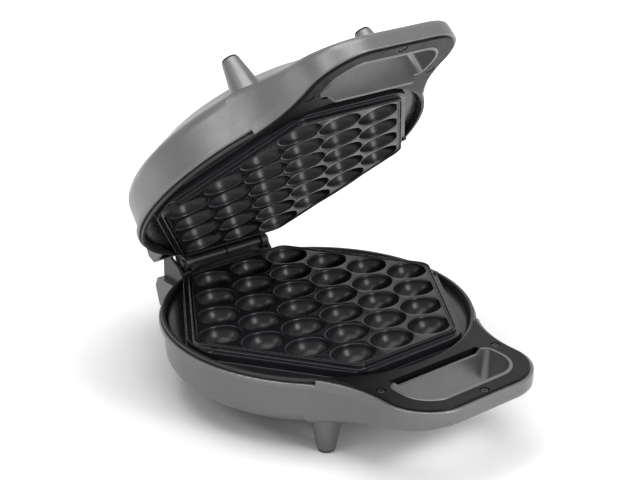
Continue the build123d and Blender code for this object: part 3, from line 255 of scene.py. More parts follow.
# Blackened carbon-steel screws: dark with a dull metal sheen
BLACKENED_STEEL = Finish("blackened_steel", "screw_steel", "#3a3a3c", "#4a4a4c", 0.36, metallic=0.8,
                         grain=Grain.CAST, grain_mm=0.3, relief_mm=0.003)
# Sheet and wire steel inside: bright grey with rolling lines
ROLLED_STEEL = Finish("rolled_steel", "bare_steel", "#a9a9ab", "#8d8d90", 0.34, metallic=1.0,
                      grain=Grain.DRAWN, grain_mm=0.4, relief_mm=0.004)
# Pressed aluminium reflector: brighter, with finer rolling lines
BRIGHT_SHEET = Finish("bright_aluminium_sheet", "bright_sheet", "#d3d3d5", "#bcbcc0", 0.25, metallic=1.0,
                      grain=Grain.DRAWN, grain_mm=0.4, relief_mm=0.003)
# Rubber of the feet's tips: deep black, matt and slightly grainy
FOOT_RUBBER = Finish("moulded_rubber", "foot_rubber", "#19191a", "#222223", 0.75, grain=Grain.STIPPLE,
                     grain_mm=0.5, relief_mm=0.012)
# Phenolic case of the thermostat: brown black, half matt
PHENOLIC = Finish("phenolic_moulding", "phenolic", "#3a322d", "#2c2622", 0.5, grain=Grain.STIPPLE,
                  grain_mm=0.4, relief_mm=0.006)
# Polyamide terminal block: cream, waxy
TERMINAL_PA = Finish("cream_polyamide", "terminal_white", "#dedacb", "#d0cbb9", 0.5, grain=Grain.SMOOTH,
                     relief_mm=0.004)
# Circuit board under solder mask: green, smooth and slightly glossy
SOLDER_MASK = Finish("solder_mask_board", "board_green", "#1d5a34", "#184c2c", 0.3, grain=Grain.CAST,
                     grain_mm=0.5, relief_mm=0.003)
# Tinted acrylic lenses: clear, deep colour, glossy
RED_ACRYLIC = Finish("red_acrylic", "lens_red", "#c01410", "#a8100c", 0.08, grain=Grain.SMOOTH, polish=0.02,
                     clear=0.35)
GREEN_ACRYLIC = Finish("green_acrylic", "lens_green", "#1c8a35", "#176f2b", 0.08, grain=Grain.SMOOTH,
                       polish=0.02, clear=0.35)


# Meshes

def linked(name: str, data: bpy.types.ID) -> bpy.types.Object:
    """Put an object into the scene.

    Args:
        name: name of the object.
        data: its mesh, camera or light.

    Returns:
        The object.
    """
    thing = bpy.data.objects.new(name, data)
    bpy.context.scene.collection.objects.link(thing)
    return thing


def mesh_object(name: str, side: Side, points: Sequence[Point3], faces: Sequence[Sequence[int]],
                finish: Finish, smooth_below: float = SMOOTH_BELOW) -> bpy.types.Object:
    """Make a piece of one half from drawing points.

    Args:
        name: name of the piece.
        side: the half that it belongs to.
        points: vertices in drawing millimetres.
        faces: vertex numbers of each face.
        finish: its finish.
        smooth_below: angle in degrees below which an edge is shaded smooth.

    Returns:
        The piece, in place and riding on its body.
    """
    mesh = bpy.data.meshes.new(name)
    mesh.from_pydata([tuple(p) for p in points], [], [list(f) for f in faces])
    return settle(name, side, mesh, finish, smooth_below)


def clean(work: bmesh.types.BMesh) -> None:
    """Merge a drawn mesh, drop its slivers and turn its faces one way.

    Args:
        work: the mesh, which is changed.
    """
    bmesh.ops.remove_doubles(work, verts=work.verts, dist=MERGE_MM)
    bmesh.ops.dissolve_degenerate(work, edges=work.edges, dist=SLIVER_MM)
    bmesh.ops.recalc_face_normals(work, faces=work.faces)


def settle(name: str, side: Side, mesh: bpy.types.Mesh, finish: Finish,
           smooth_below: float = SMOOTH_BELOW) -> bpy.types.Object:
    """Merge, orient, place and dress a drawn mesh, and let it ride on its half.

    Args:
        name: name of the piece.
        side: the half that it belongs to.
        mesh: its mesh in drawing millimetres.
        finish: its finish.
        smooth_below: angle in degrees below which an edge is shaded smooth.

    Returns:
        The piece.
    """
    work = bmesh.new()
    work.from_mesh(mesh)
    clean(work)
    bmesh.ops.transform(work, matrix=side.place(), verts=work.verts)
    if side is Side.LID:
        bmesh.ops.reverse_faces(work, faces=work.faces)
    work.to_mesh(mesh)
    work.free()
    mesh.shade_smooth()
    mesh.set_sharp_from_angle(angle=math.radians(smooth_below))
    return dress(name, side, mesh, finish)


def dress(name: str, side: Side, mesh: bpy.types.Mesh, finish: Finish) -> bpy.types.Object:
    """Dress a mesh that is in place, and let it ride on its half.

    Args:
        name: name of the piece.
        side: the half that it belongs to.
        mesh: its mesh in the model's own frame, shaded.
        finish: its finish.

    Returns:
        The piece.
    """
    mesh.name = name
    mesh.materials.clear()
    mesh.materials.append(finish.material())
    piece = linked(name, mesh)
    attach(piece, side.value)
    log.info("%s: %d faces on %s", name, len(mesh.polygons), side.value)
    return piece


def rounded(points: Sequence[Point2], radii: Sequence[float], steps: int = 4) -> list[Point2]:
    """Round the corners of an open or closed run of points.

    Args:
        points: the corners in order.
        radii: radius at each corner, 0 for a sharp one.
        steps: points along each arc, less one.

    Returns:
        The rounded run.
    """
    result: list[Point2] = []
    count = len(points)
    for i, corner in enumerate(points):
        radius = radii[i]
        if not radius:
            result.append(corner)
            continue
        here = Vector(corner)
        back = (Vector(points[i - 1]) - here).normalized()
        on = (Vector(points[(i + 1) % count]) - here).normalized()
        half = math.acos(max(-1.0, min(1.0, back.dot(on)))) / 2
        centre = here + (back + on).normalized() * (radius / math.sin(half))
        start = here + back * (radius / math.tan(half)) - centre
        end = here + on * (radius / math.tan(half)) - centre
        turn = math.atan2(start.x * end.y - start.y * end.x, start.dot(end))
        for k in range(steps + 1):
            angle = turn * k / steps
            result.append((centre.x + start.x * math.cos(angle) - start.y * math.sin(angle),
                           centre.y + start.x * math.sin(angle) + start.y * math.cos(angle)))
    return result


def band(low: Sequence[int], high: Sequence[int]) -> list[tuple[int, int, int, int]]:
    """Join two closed rings of vertex numbers with a band of faces.

    Args:
        low: the first ring.
        high: the second, with as many vertices.

    Returns:
        The band's faces.
    """
    count = len(low)
    return [(low[i], low[(i + 1) % count], high[(i + 1) % count], high[i]) for i in range(count)]


def revolved(profile: Sequence[Point2],
             steps: int = CIRCLE_STEPS) -> tuple[list[Point3], list[tuple[int, ...]]]:
    """Turn a closed profile of radius and height about the Z axis.

    Args:
        profile: radius and height of each point.
        steps: divisions of the circle.

    Returns:
        Vertices and faces.
    """
    points = [(r * math.cos(2 * math.pi * i / steps), r * math.sin(2 * math.pi * i / steps), z)
              for r, z in profile for i in range(steps)]
    rings = [list(range(k * steps, (k + 1) * steps)) for k in range(len(profile))]
    faces = [face for k in range(len(rings)) for face in band(rings[k], rings[(k + 1) % len(rings)])]
    return points, faces


def inside(point: Vector, outline: Sequence[Vector]) -> bool:
    """Tell whether a point lies inside a closed outline.

    Args:
        point: the point, in plan.
        outline: the outline's corners in order.

    Returns:
        True inside.
    """
    odd = False
    last = outline[-1]
    for here in outline:
        if (here.y > point.y) != (last.y > point.y):
            if point.x < (last.x - here.x) * (point.y - here.y) / (last.y - here.y) + here.x:
                odd = not odd
        last = here
    return odd


def thickened(mesh: bpy.types.Mesh, wall: float) -> bpy.types.Mesh:
    """Give an upper surface its wall with a Solidify modifier, and keep the result as a plain mesh.

    Args:
        mesh: the surface, open at its edge.
        wall: thickness of the wall, below the surface.

    Returns:
        The closed mesh.
    """
    work = bmesh.new()
    work.from_mesh(mesh)
    clean(work)
    top = max(work.faces, key=lambda f: f.calc_center_median().z)
    if top.normal.z < 0:
        bmesh.ops.reverse_faces(work, faces=work.faces)
    work.to_mesh(mesh)
    work.free()
    return with_modifier(mesh, "SOLIDIFY", {"thickness": wall, "offset": -1.0})


def with_modifier(mesh: bpy.types.Mesh, kind: str, settings: dict[str, Any]) -> bpy.types.Mesh:
    """Apply one modifier to a mesh.

    Args:
        mesh: the mesh, which is used up.
        kind: the modifier's type.
        settings: its properties.

    Returns:
        The changed mesh.
    """
    holder = linked("holder", mesh)
    modifier = holder.modifiers.new("work", kind)
    for key, value in settings.items():
        setattr(modifier, key, value)
    graph = bpy.context.evaluated_depsgraph_get()
    result = bpy.data.meshes.new_from_object(holder.evaluated_get(graph))
    bpy.data.objects.remove(holder)
    return result


# Geometry Nodes

def new_tree(name: str, sockets: dict[str, str]) -> tuple[bpy.types.NodeTree, bpy.types.Node]:
    """Start a Geometry Nodes tree.

    Args:
        name: name of the tree.
        sockets: type of each input, by name.

    Returns:
        The tree and its input node.
    """
    tree = bpy.data.node_groups.new(name, "GeometryNodeTree")
    for label, kind in sockets.items():
        tree.interface.new_socket(name=label, in_out="INPUT", socket_type=kind)
    tree.interface.new_socket(name="Geometry", in_out="OUTPUT", socket_type="NodeSocketGeometry")
    return tree, add_node(tree, "NodeGroupInput")


def end_tree(tree: bpy.types.NodeTree, instances: bpy.types.NodeSocket, finish: bpy.types.NodeSocket) -> None:
    """Realise the instances, give them their material and end the tree.

    Args:
        tree: the tree.
        instances: what it has made so far.
        finish: the material's socket.
    """
    real = add_node(tree, "GeometryNodeRealizeInstances", links={"Geometry": instances})
    dressed = add_node(tree, "GeometryNodeSetMaterial",
                       links={"Geometry": real.outputs["Geometry"], "Material": finish})
    add_node(tree, "NodeGroupOutput", links={"Geometry": dressed.outputs["Geometry"]})


def maths(tree: bpy.types.NodeTree, operation: str, first: Any, second: Any = None) -> bpy.types.NodeSocket:
    """Add one sum to a tree.

    Args:
        tree: the tree.
        operation: the sum's kind.
        first: its first number or socket.
        second: its second number or socket, if it has one.

    Returns:
        The result's socket.
    """
    values = {i: v for i, v in enumerate((first, second)) if isinstance(v, (int, float))}
    links = {i: v for i, v in enumerate((first, second)) if isinstance(v, bpy.types.NodeSocket)}
    return add_node(tree, "ShaderNodeMath", {"operation": operation}, values, links).outputs[0]


def run_tree(tree: bpy.types.NodeTree, inputs: dict[str, Any],
             carrier: bpy.types.Mesh | None = None) -> bpy.types.Mesh:
    """Evaluate a Geometry Nodes tree once and keep its result as a plain mesh.

    Args:
        tree: the tree.
        inputs: value of each input, by the input's name.
        carrier: mesh that the tree's first input receives, if it wants one.

    Returns:
        The mesh.
    """
    holder = linked("holder", carrier or bpy.data.meshes.new("holder"))
    modifier = holder.modifiers.new("tree", "NODES")
    modifier.node_group = tree
    for item in tree.interface.items_tree:
        if item.in_out == "INPUT" and item.name in inputs:
            modifier[item.identifier] = inputs[item.name]
    graph = bpy.context.evaluated_depsgraph_get()
    mesh = bpy.data.meshes.new_from_object(holder.evaluated_get(graph))
    holder.modifiers.remove(modifier)
    bpy.data.objects.remove(holder)
    return mesh


# Cooking plates

@dataclass
class CookingPlate:
    """Cast plate of a half: rim, stepped hexagon with a double lip, and rows of egg-shaped cups.

    Heights count up from the bezel ring's top. inner_lip, groove_in, groove_out, outer_lip and step_out say
    how far each edge lies outside the hexagon through the outermost cups' centres.
    """

    side: Side
    cup_pitch: float = 32.1
    row_pitch: float = 23.87
    row_reach: int = 3
    middle_row: int = 6
    cup_half_length: float = 15.0
    cup_depth: float = 12.1
    cup_end_r: float = 10.0
    cup_lift: float = 0.3
    cup_edge_r: float = 0.95
    cup_steps: int = 56
    cup_levels: int = 11
    land_top: float = 4.5
    lip_top: float = 5.0
    step_top: float = 2.0
    rim_top: float = -3.5
    rim_low: float = -6.0
    plate_r: float = 99.4
    hex_corner: float = 9.0
    inner_lip: float = 14.4
    groove_in: float = 15.3
    groove_out: float = 16.2
    outer_lip: float = 17.1
    step_out: float = 21.0
    groove_depth: float = 1.2
    wall: float = 1.0
    edge_steps: int = 4
    hem: float = 0.8
    land_strip: float = 1.0
    rim_round: float = 0.4
    corner_steps: int = 8
    side_steps: int = 12
    profile_steps: int = 3
    smooth_below: float = 50.0
    profile_radii: tuple[float, ...] = (0, 0.2, 0.4, 0.4, 0.2, 0.2, 0.4, 0.4, 0.7, 0.5, 0.7, 0)

    def centres(self) -> list[Point2]:
        """Give the places of the cups."""
        rows = range(-self.row_reach, self.row_reach + 1)
        return [((i - (self.middle_row - abs(row) - 1) / 2) * self.cup_pitch, row * self.row_pitch)
                for row in rows for i in range(self.middle_row - abs(row))]

    def contour(self, drop: float) -> list[Vector]:
        """Give the egg's outline in plan at a depth under its middle.

        Args:
            drop: the depth.

        Returns:
            Its points in order.
        """
        ball_x = self.cup_half_length - self.cup_end_r
        spare = self.cup_depth - self.cup_end_r
        barrel_r = (ball_x ** 2 + self.cup_depth ** 2 - self.cup_end_r ** 2) / (2 * spare)
        barrel_y = self.cup_depth - barrel_r
        seam_x = ball_x + self.cup_end_r * math.cos(math.atan2(-barrel_y, ball_x))

        def girth(x: float) -> float:
            """Radius of the egg at a place along its axis."""
            if abs(x) <= seam_x:
                return math.sqrt(max(0.0, barrel_r ** 2 - x ** 2)) + barrel_y
            return math.sqrt(max(0.0, self.cup_end_r ** 2 - (abs(x) - ball_x) ** 2))

        if girth(seam_x) > drop:
            reach = ball_x + math.sqrt(self.cup_end_r ** 2 - drop ** 2)
        else:
            reach = math.sqrt(max(0.0, barrel_r ** 2 - (drop - barrel_y) ** 2))
        outline = []
        for i in range(self.cup_steps):
            turn = 2 * math.pi * (i + 0.5) / self.cup_steps
            x = reach * math.cos(turn)
            y = math.sqrt(max(0.0, girth(x) ** 2 - drop ** 2))
            outline.append(Vector((x, math.copysign(y, math.sin(turn)))))
        return outline

    def rings(self) -> list[list[Point3]]:
        """Give a cup's rings, from its soft edge on the land down to its bottom."""
        edge = self.cup_edge_r
        wall = self.contour(self.cup_lift + edge)
        count = len(wall)
        outward = []
        for i in range(count):
            along = (wall[(i + 1) % count] - wall[i - 1]).normalized()
            outward.append(Vector((along.y, -along.x)))
        rings = []
        for k in range(self.edge_steps + 1):
            turn = math.pi / 2 * k / self.edge_steps
            grow, z = edge * (1 - math.sin(turn)), self.land_top - edge * (1 - math.cos(turn))
            rings.append([(p.x + grow * n.x, p.y + grow * n.y, z) for p, n in zip(wall, outward)])
        middle = self.land_top + self.cup_lift
        start = math.asin((self.cup_lift + edge) / self.cup_depth)
        for k in range(1, self.cup_levels + 1):
            turn = start + (math.pi / 2 - start) * k / (self.cup_levels + 1)
            drop = self.cup_depth * math.sin(turn)
            rings.append([(p.x, p.y, middle - drop) for p in self.contour(drop)])
        return rings

    def cup(self) -> bpy.types.Object:
        """Make one cup at the middle of the plate, as the piece that the rows repeat."""
        rings = self.rings()
        steps = self.cup_steps
        points = [p for ring in rings for p in ring]
        faces: list[tuple[int, ...]] = []
        for k in range(len(rings) - 1):
            faces += band(range(k * steps, (k + 1) * steps), range((k + 1) * steps, (k + 2) * steps))
        bottom = len(points)
        points.append((0.0, 0.0, self.land_top + self.cup_lift - self.cup_depth))
        last = (len(rings) - 1) * steps
        faces += [(last + i, last + (i + 1) % steps, bottom) for i in range(steps)]
        mesh = bpy.data.meshes.new("cup")
        mesh.from_pydata(points, [], faces)
        return linked("cup", mesh)

    def rows_of_cups(self) -> bpy.types.Mesh:
        """Repeat the cup in staggered rows with Geometry Nodes."""
        tree, given = new_tree("staggered_rows", {
            "Cup": "NodeSocketObject", "Pitch": "NodeSocketFloat", "Row pitch": "NodeSocketFloat",
            "Row reach": "NodeSocketInt", "Middle row": "NodeSocketInt", "Finish": "NodeSocketMaterial"})
        out = given.outputs
        rows = maths(tree, "ADD", maths(tree, "MULTIPLY", out["Row reach"], 2), 1)
        points = add_node(tree, "GeometryNodePoints",
                          links={"Count": maths(tree, "MULTIPLY", rows, out["Middle row"])})
        index = add_node(tree, "GeometryNodeInputIndex").outputs[0]
        row = maths(tree, "FLOOR", maths(tree, "DIVIDE", maths(tree, "ADD", index, 0.5), out["Middle row"]))
        place = maths(tree, "SUBTRACT", index, maths(tree, "MULTIPLY", row, out["Middle row"]))
        away = maths(tree, "SUBTRACT", row, out["Row reach"])
        count = maths(tree, "SUBTRACT", out["Middle row"], maths(tree, "ABSOLUTE", away))
        start = maths(tree, "MULTIPLY", maths(tree, "SUBTRACT", count, 1), 0.5)
        x = maths(tree, "MULTIPLY", maths(tree, "SUBTRACT", place, start), out["Pitch"])
        y = maths(tree, "MULTIPLY", away, out["Row pitch"])
        spot = add_node(tree, "ShaderNodeCombineXYZ", links={"X": x, "Y": y})
        spare = maths(tree, "GREATER_THAN", place, maths(tree, "SUBTRACT", count, 0.5))
        laid = add_node(tree, "GeometryNodeSetPosition",
                        links={"Geometry": points.outputs[0], "Position": spot.outputs[0]})
        kept = add_node(tree, "GeometryNodeDeleteGeometry", {"domain": "POINT"},
                        links={"Geometry": laid.outputs[0], "Selection": spare})
        shape = add_node(tree, "GeometryNodeObjectInfo", links={"Object": out["Cup"]})
        many = add_node(tree, "GeometryNodeInstanceOnPoints",
                        links={"Points": kept.outputs[0], "Instance": shape.outputs["Geometry"]})
        end_tree(tree, many.outputs[0], out["Finish"])
        cup = self.cup()
        mesh = run_tree(tree, {"Cup": cup, "Pitch": self.cup_pitch, "Row pitch": self.row_pitch,
                               "Row reach": self.row_reach, "Middle row": self.middle_row,
                               "Finish": PTFE_COATING.material()})
        bpy.data.objects.remove(cup)
        return mesh

    def hexagon(self, grow: float) -> list[Vector]:
        """Give the hexagon's outline, with points along its sides.

        Args:
            grow: how far it lies outside the outermost cup centres.

        Returns:
            Its points in order.
        """
        tip = (self.middle_row - 1) / 2 * self.cup_pitch
        top = self.row_reach * self.row_pitch
        slant = math.atan2(top, self.row_reach / 2 * self.cup_pitch)
        far_x = tip + grow / math.sin(slant)
        far_y = top + grow
        near_x = far_x - far_y / math.tan(slant)
        corners = [(far_x, 0), (near_x, far_y), (-near_x, far_y),
                   (-far_x, 0), (-near_x, -far_y), (near_x, -far_y)]
        arcs = rounded(corners, [self.hex_corner] * len(corners), self.corner_steps)
        outline = []
        for i, here in enumerate(arcs):
            outline.append(Vector(here))
            if i % (self.corner_steps + 1) == self.corner_steps:
                on = Vector(arcs[(i + 1) % len(arcs)])
                outline += [Vector(here).lerp(on, k / self.side_steps) for k in range(1, self.side_steps)]
        return outline

    def profile(self) -> list[Point2]:
        """Give the section from the land out to the rim, as growth of the hexagon and height."""
        floor = self.lip_top - self.groove_depth
        points = [(self.inner_lip - self.land_strip, self.land_top), (self.inner_lip, self.land_top),
                  (self.inner_lip, self.lip_top), (self.groove_in, self.lip_top), (self.groove_in, floor),
                  (self.groove_out, floor), (self.groove_out, self.lip_top), (self.outer_lip, self.lip_top),
                  (self.outer_lip, self.step_top), (self.step_out, self.step_top),
                  (self.step_out, self.rim_top), (self.step_out + self.hem, self.rim_top)]
        return rounded(points, self.profile_radii, self.profile_steps)

    def sheet(self) -> tuple[list[Point3], list[tuple[int, ...]]]:
        """Make the plate's upper surface but for the cups."""
        section = self.profile()
        points: list[Point3] = []
        rings: list[list[int]] = []
        for grow, z in section:
            outline = self.hexagon(grow)
            clipped = [p if p.length <= self.plate_r else p * (self.plate_r / p.length) for p in outline]
            rings.append(list(range(len(points), len(points) + len(clipped))))
            points += [(p.x, p.y, z) for p in clipped]
        ring_count = len(rings[0])
        edge = [Vector(points[i][:2]).normalized() * self.plate_r for i in rings[-1]]
        for inset, z in ((self.rim_round, self.rim_top), (0.0, self.rim_top - self.rim_round),
                         (0.0, self.rim_low)):
            rings.append(list(range(len(points), len(points) + ring_count)))
            points += [(p.x * (1 - inset / self.plate_r), p.y * (1 - inset / self.plate_r), z) for p in edge]
        faces: list[tuple[int, ...]] = []
        for low, high in zip(rings, rings[1:]):
            faces += band(low, high)
        holes = self.rings()[0]
        flat = [Vector(points[i][:2]) for i in rings[0]]
        runs = [(i, (i + 1) % ring_count) for i in range(ring_count)]
        for x, y in self.centres():
            first = len(flat)
            flat += [Vector((x + p[0], y + p[1])) for p in holes]
            runs += [(first + i, first + (i + 1) % len(holes)) for i in range(len(holes))]
        made, _, triangles, *_ = delaunay_2d_cdt(flat, runs, [], 0, TRIANGLE_SNAP)
        base = len(points)
        points += [(p.x, p.y, self.land_top) for p in made]
        hexagon = [Vector(points[i][:2]) for i in rings[0]]
        for triangle in triangles:
            middle = sum((made[i] for i in triangle), Vector((0, 0))) / 3
            near = min(self.centres(), key=lambda c: (middle - Vector(c)).length)
            outline = [Vector((near[0] + p[0], near[1] + p[1])) for p in holes]
            if inside(middle, hexagon) and not inside(middle, outline):
                faces.append(tuple(base + i for i in triangle))
        return points, faces

    def build(self) -> bpy.types.Object:
        """Make the plate and give it the thickness of its wall."""
        name = f"{self.side.value}_cast_plate"
        points, faces = self.sheet()
        cups = self.rows_of_cups()
        start = len(points)
        points += [tuple(v.co) for v in cups.vertices]
        faces += [tuple(start + i for i in face.vertices) for face in cups.polygons]
        mesh = bpy.data.meshes.new(name)
        mesh.from_pydata(points, [], faces)
        solid = thickened(mesh, self.wall)
        piece = settle(name, self.side, solid, PTFE_COATING, self.smooth_below)
        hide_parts(f"{self.side.value}_plate")
        return piece


# Bezel rings

@dataclass
class BezelRing:
    """Black ring round the plate."""

    side: Side
    outer: float = 103.2
    inner: float = 101.0
    inner_low: float = 99.9
    neck: float = 102.2
    seat: float = -4.3
    band_height: float = 2.0
    edge_r: float = 0.35
    band_r: float = 0.15
    edge_steps: int = 4
    smooth_below: float = 30.0

    def build(self) -> bpy.types.Object:
        """Turn the ring's section."""
        section = [(self.inner_low, self.seat), (self.neck, self.seat), (self.neck, -self.band_height),
                   (self.outer, -self.band_height), (self.outer, 0.0), (self.inner, 0.0)]
        profile = rounded(section, [0, 0, 0, self.band_r, self.edge_r, self.edge_r], self.edge_steps)
        name = f"{self.side.value}_ring"
        piece = mesh_object(name, self.side, *revolved(profile), BEZEL_PA, self.smooth_below)
        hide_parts(f"{self.side.value}_bezel_ring")
        return piece


# Pieces that keep the CAD's own form

@dataclass
class Moulding:
    """A piece with the CAD's own form, its loose triangles merged and its edges softened.

    edge_mm is the width of the softening, 0 for none. Edges below the angle smooth_below stay as they are.
    """

    side: Side
    node: str
    finish: Finish
    edge_mm: float = 0.25
    smooth_below: float = 32.0
    edge_segments: int = 2

    def build(self) -> bpy.types.Object:
        """Copy the node's mesh, merge it, clean its flat faces and soften its edges."""
        mesh = frame["nodes"][self.node].data.copy()
        work = bmesh.new()
        work.from_mesh(mesh)
        bmesh.ops.remove_doubles(work, verts=work.verts, dist=COPY_MERGE)
        bmesh.ops.dissolve_limit(work, angle_limit=math.radians(FLAT_ANGLE), verts=work.verts,
                                 edges=work.edges)
        work.to_mesh(mesh)
        work.free()
        if self.edge_mm:
            mesh = with_modifier(mesh, "BEVEL", {
                "width": self.edge_mm * MM, "segments": self.edge_segments, "limit_method": "ANGLE",
                "angle_limit": math.radians(self.smooth_below), "use_clamp_overlap": True})
        mesh.shade_smooth()
        mesh.set_sharp_from_angle(angle=math.radians(SOFT_EDGE if self.edge_mm else self.smooth_below))
        mesh = with_modifier(mesh, "WEIGHTED_NORMAL", {
            "mode": "FACE_AREA", "weight": AREA_WEIGHT, "keep_sharp": True})
        piece = dress(f"{self.node}_form", self.side, mesh, self.finish)
        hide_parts(self.node)
        return piece


@dataclass
class Carried:
    """A CAD node that stays as it is and gets its finish."""

    node: str
    finish: Finish

    def build(self) -> None:
        """Give the node its material."""
        piece = frame["nodes"][self.node]
        piece.data.materials.clear()
        piece.data.materials.append(self.finish.material())
        log.info("%s: CAD form, %s", self.node, self.finish.name)


# Screws

@dataclass
class CrossScrews:
    """Pan head screws with a cross recess, repeated with Geometry Nodes. Their heads stand on seat."""

    side: Side
    node: str
    places: Sequence[Point2]
    seat: float
    head_r: float = 2.6
    head_t: float = 1.1
    length: float = 9.0
    shank_r: float = 1.4
    slot_r: float = 1.5
    slot_w: float = 0.6
    slot_depth: float = 0.6
    dome_share: float = 0.35
    circle_steps: int = 40
    smooth_below: float = 30.0

    def tree(self) -> bpy.types.NodeTree:
        """Build the tree: a domed head and a shank, less a cross, at each place."""
        tree, given = new_tree("cross_screws", {
            "Places": "NodeSocketGeometry", "Head radius": "NodeSocketFloat",
            "Head height": "NodeSocketFloat", "Shank radius": "NodeSocketFloat",
            "Shank length": "NodeSocketFloat", "Slot radius": "NodeSocketFloat",
            "Slot width": "NodeSocketFloat", "Slot depth": "NodeSocketFloat",
            "Finish": "NodeSocketMaterial"})
        out = given.outputs
        chamfer = maths(tree, "MULTIPLY", out["Head height"], self.dome_share)
        straight = maths(tree, "SUBTRACT", out["Head height"], chamfer)

        def bar(radius: Any, top: Any, height: Any, base: Any) -> bpy.types.NodeSocket:
            """Add a cone or bar that stands on the height base."""
            cone = add_node(tree, "GeometryNodeMeshCone", values={"Vertices": self.circle_steps},
                            links={"Radius Top": top, "Radius Bottom": radius, "Depth": height})
            lift = add_node(tree, "ShaderNodeCombineXYZ", links={"Z": base} if base is not None else {})
            return add_node(tree, "GeometryNodeTransform", links={
                "Geometry": cone.outputs["Mesh"], "Translation": lift.outputs[0]}).outputs[0]

        head = bar(out["Head radius"], out["Head radius"], straight, None)
        crown_r = maths(tree, "SUBTRACT", out["Head radius"], chamfer)
        dome = bar(out["Head radius"], crown_r, chamfer, straight)
        below = maths(tree, "MULTIPLY", out["Shank length"], -1)
        shank = bar(out["Shank radius"], out["Shank radius"], out["Shank length"], below)
        cut_size = maths(tree, "MULTIPLY", out["Slot depth"], 2)
        cutters = []
        for wide in (True, False):
            long, short = maths(tree, "MULTIPLY", out["Slot radius"], 2), out["Slot width"]
            size = add_node(tree, "ShaderNodeCombineXYZ", links={
                "X": long if wide else short, "Y": short if wide else long, "Z": cut_size})
            cube = add_node(tree, "GeometryNodeMeshCube", links={"Size": size.outputs[0]})
            lift = add_node(tree, "ShaderNodeCombineXYZ", links={"Z": out["Head height"]})
            cutters.append(add_node(tree, "GeometryNodeTransform", links={
                "Geometry": cube.outputs["Mesh"], "Translation": lift.outputs[0]}).outputs[0])
        whole = add_node(tree, "GeometryNodeMeshBoolean", {"operation": "UNION"})
        for piece in (head, dome, shank):
            tree.links.new(piece, whole.inputs["Mesh 2"])
        cut = add_node(tree, "GeometryNodeMeshBoolean", {"operation": "DIFFERENCE"},
                       links={"Mesh 1": whole.outputs["Mesh"]})
        for piece in cutters:
            tree.links.new(piece, cut.inputs["Mesh 2"])
        many = add_node(tree, "GeometryNodeInstanceOnPoints",
                        links={"Points": out["Places"], "Instance": cut.outputs["Mesh"]})
        end_tree(tree, many.outputs[0], out["Finish"])
        return tree

    def build(self) -> bpy.types.Object:
        """Repeat the screw at its places."""
        seats = bpy.data.meshes.new("seats")
        seats.from_pydata([(x, y, self.seat) for x, y in self.places], [], [])
        mesh = run_tree(self.tree(), {
            "Head radius": self.head_r, "Head height": self.head_t, "Shank radius": self.shank_r,
            "Shank length": self.length, "Slot radius": self.slot_r, "Slot width": self.slot_w,
            "Slot depth": self.slot_depth, "Finish": BLACKENED_STEEL.material()}, seats)
        piece = settle(f"{self.node}_cross", self.side, mesh, BLACKENED_STEEL, self.smooth_below)
        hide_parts(self.node)
        return piece


# Studio

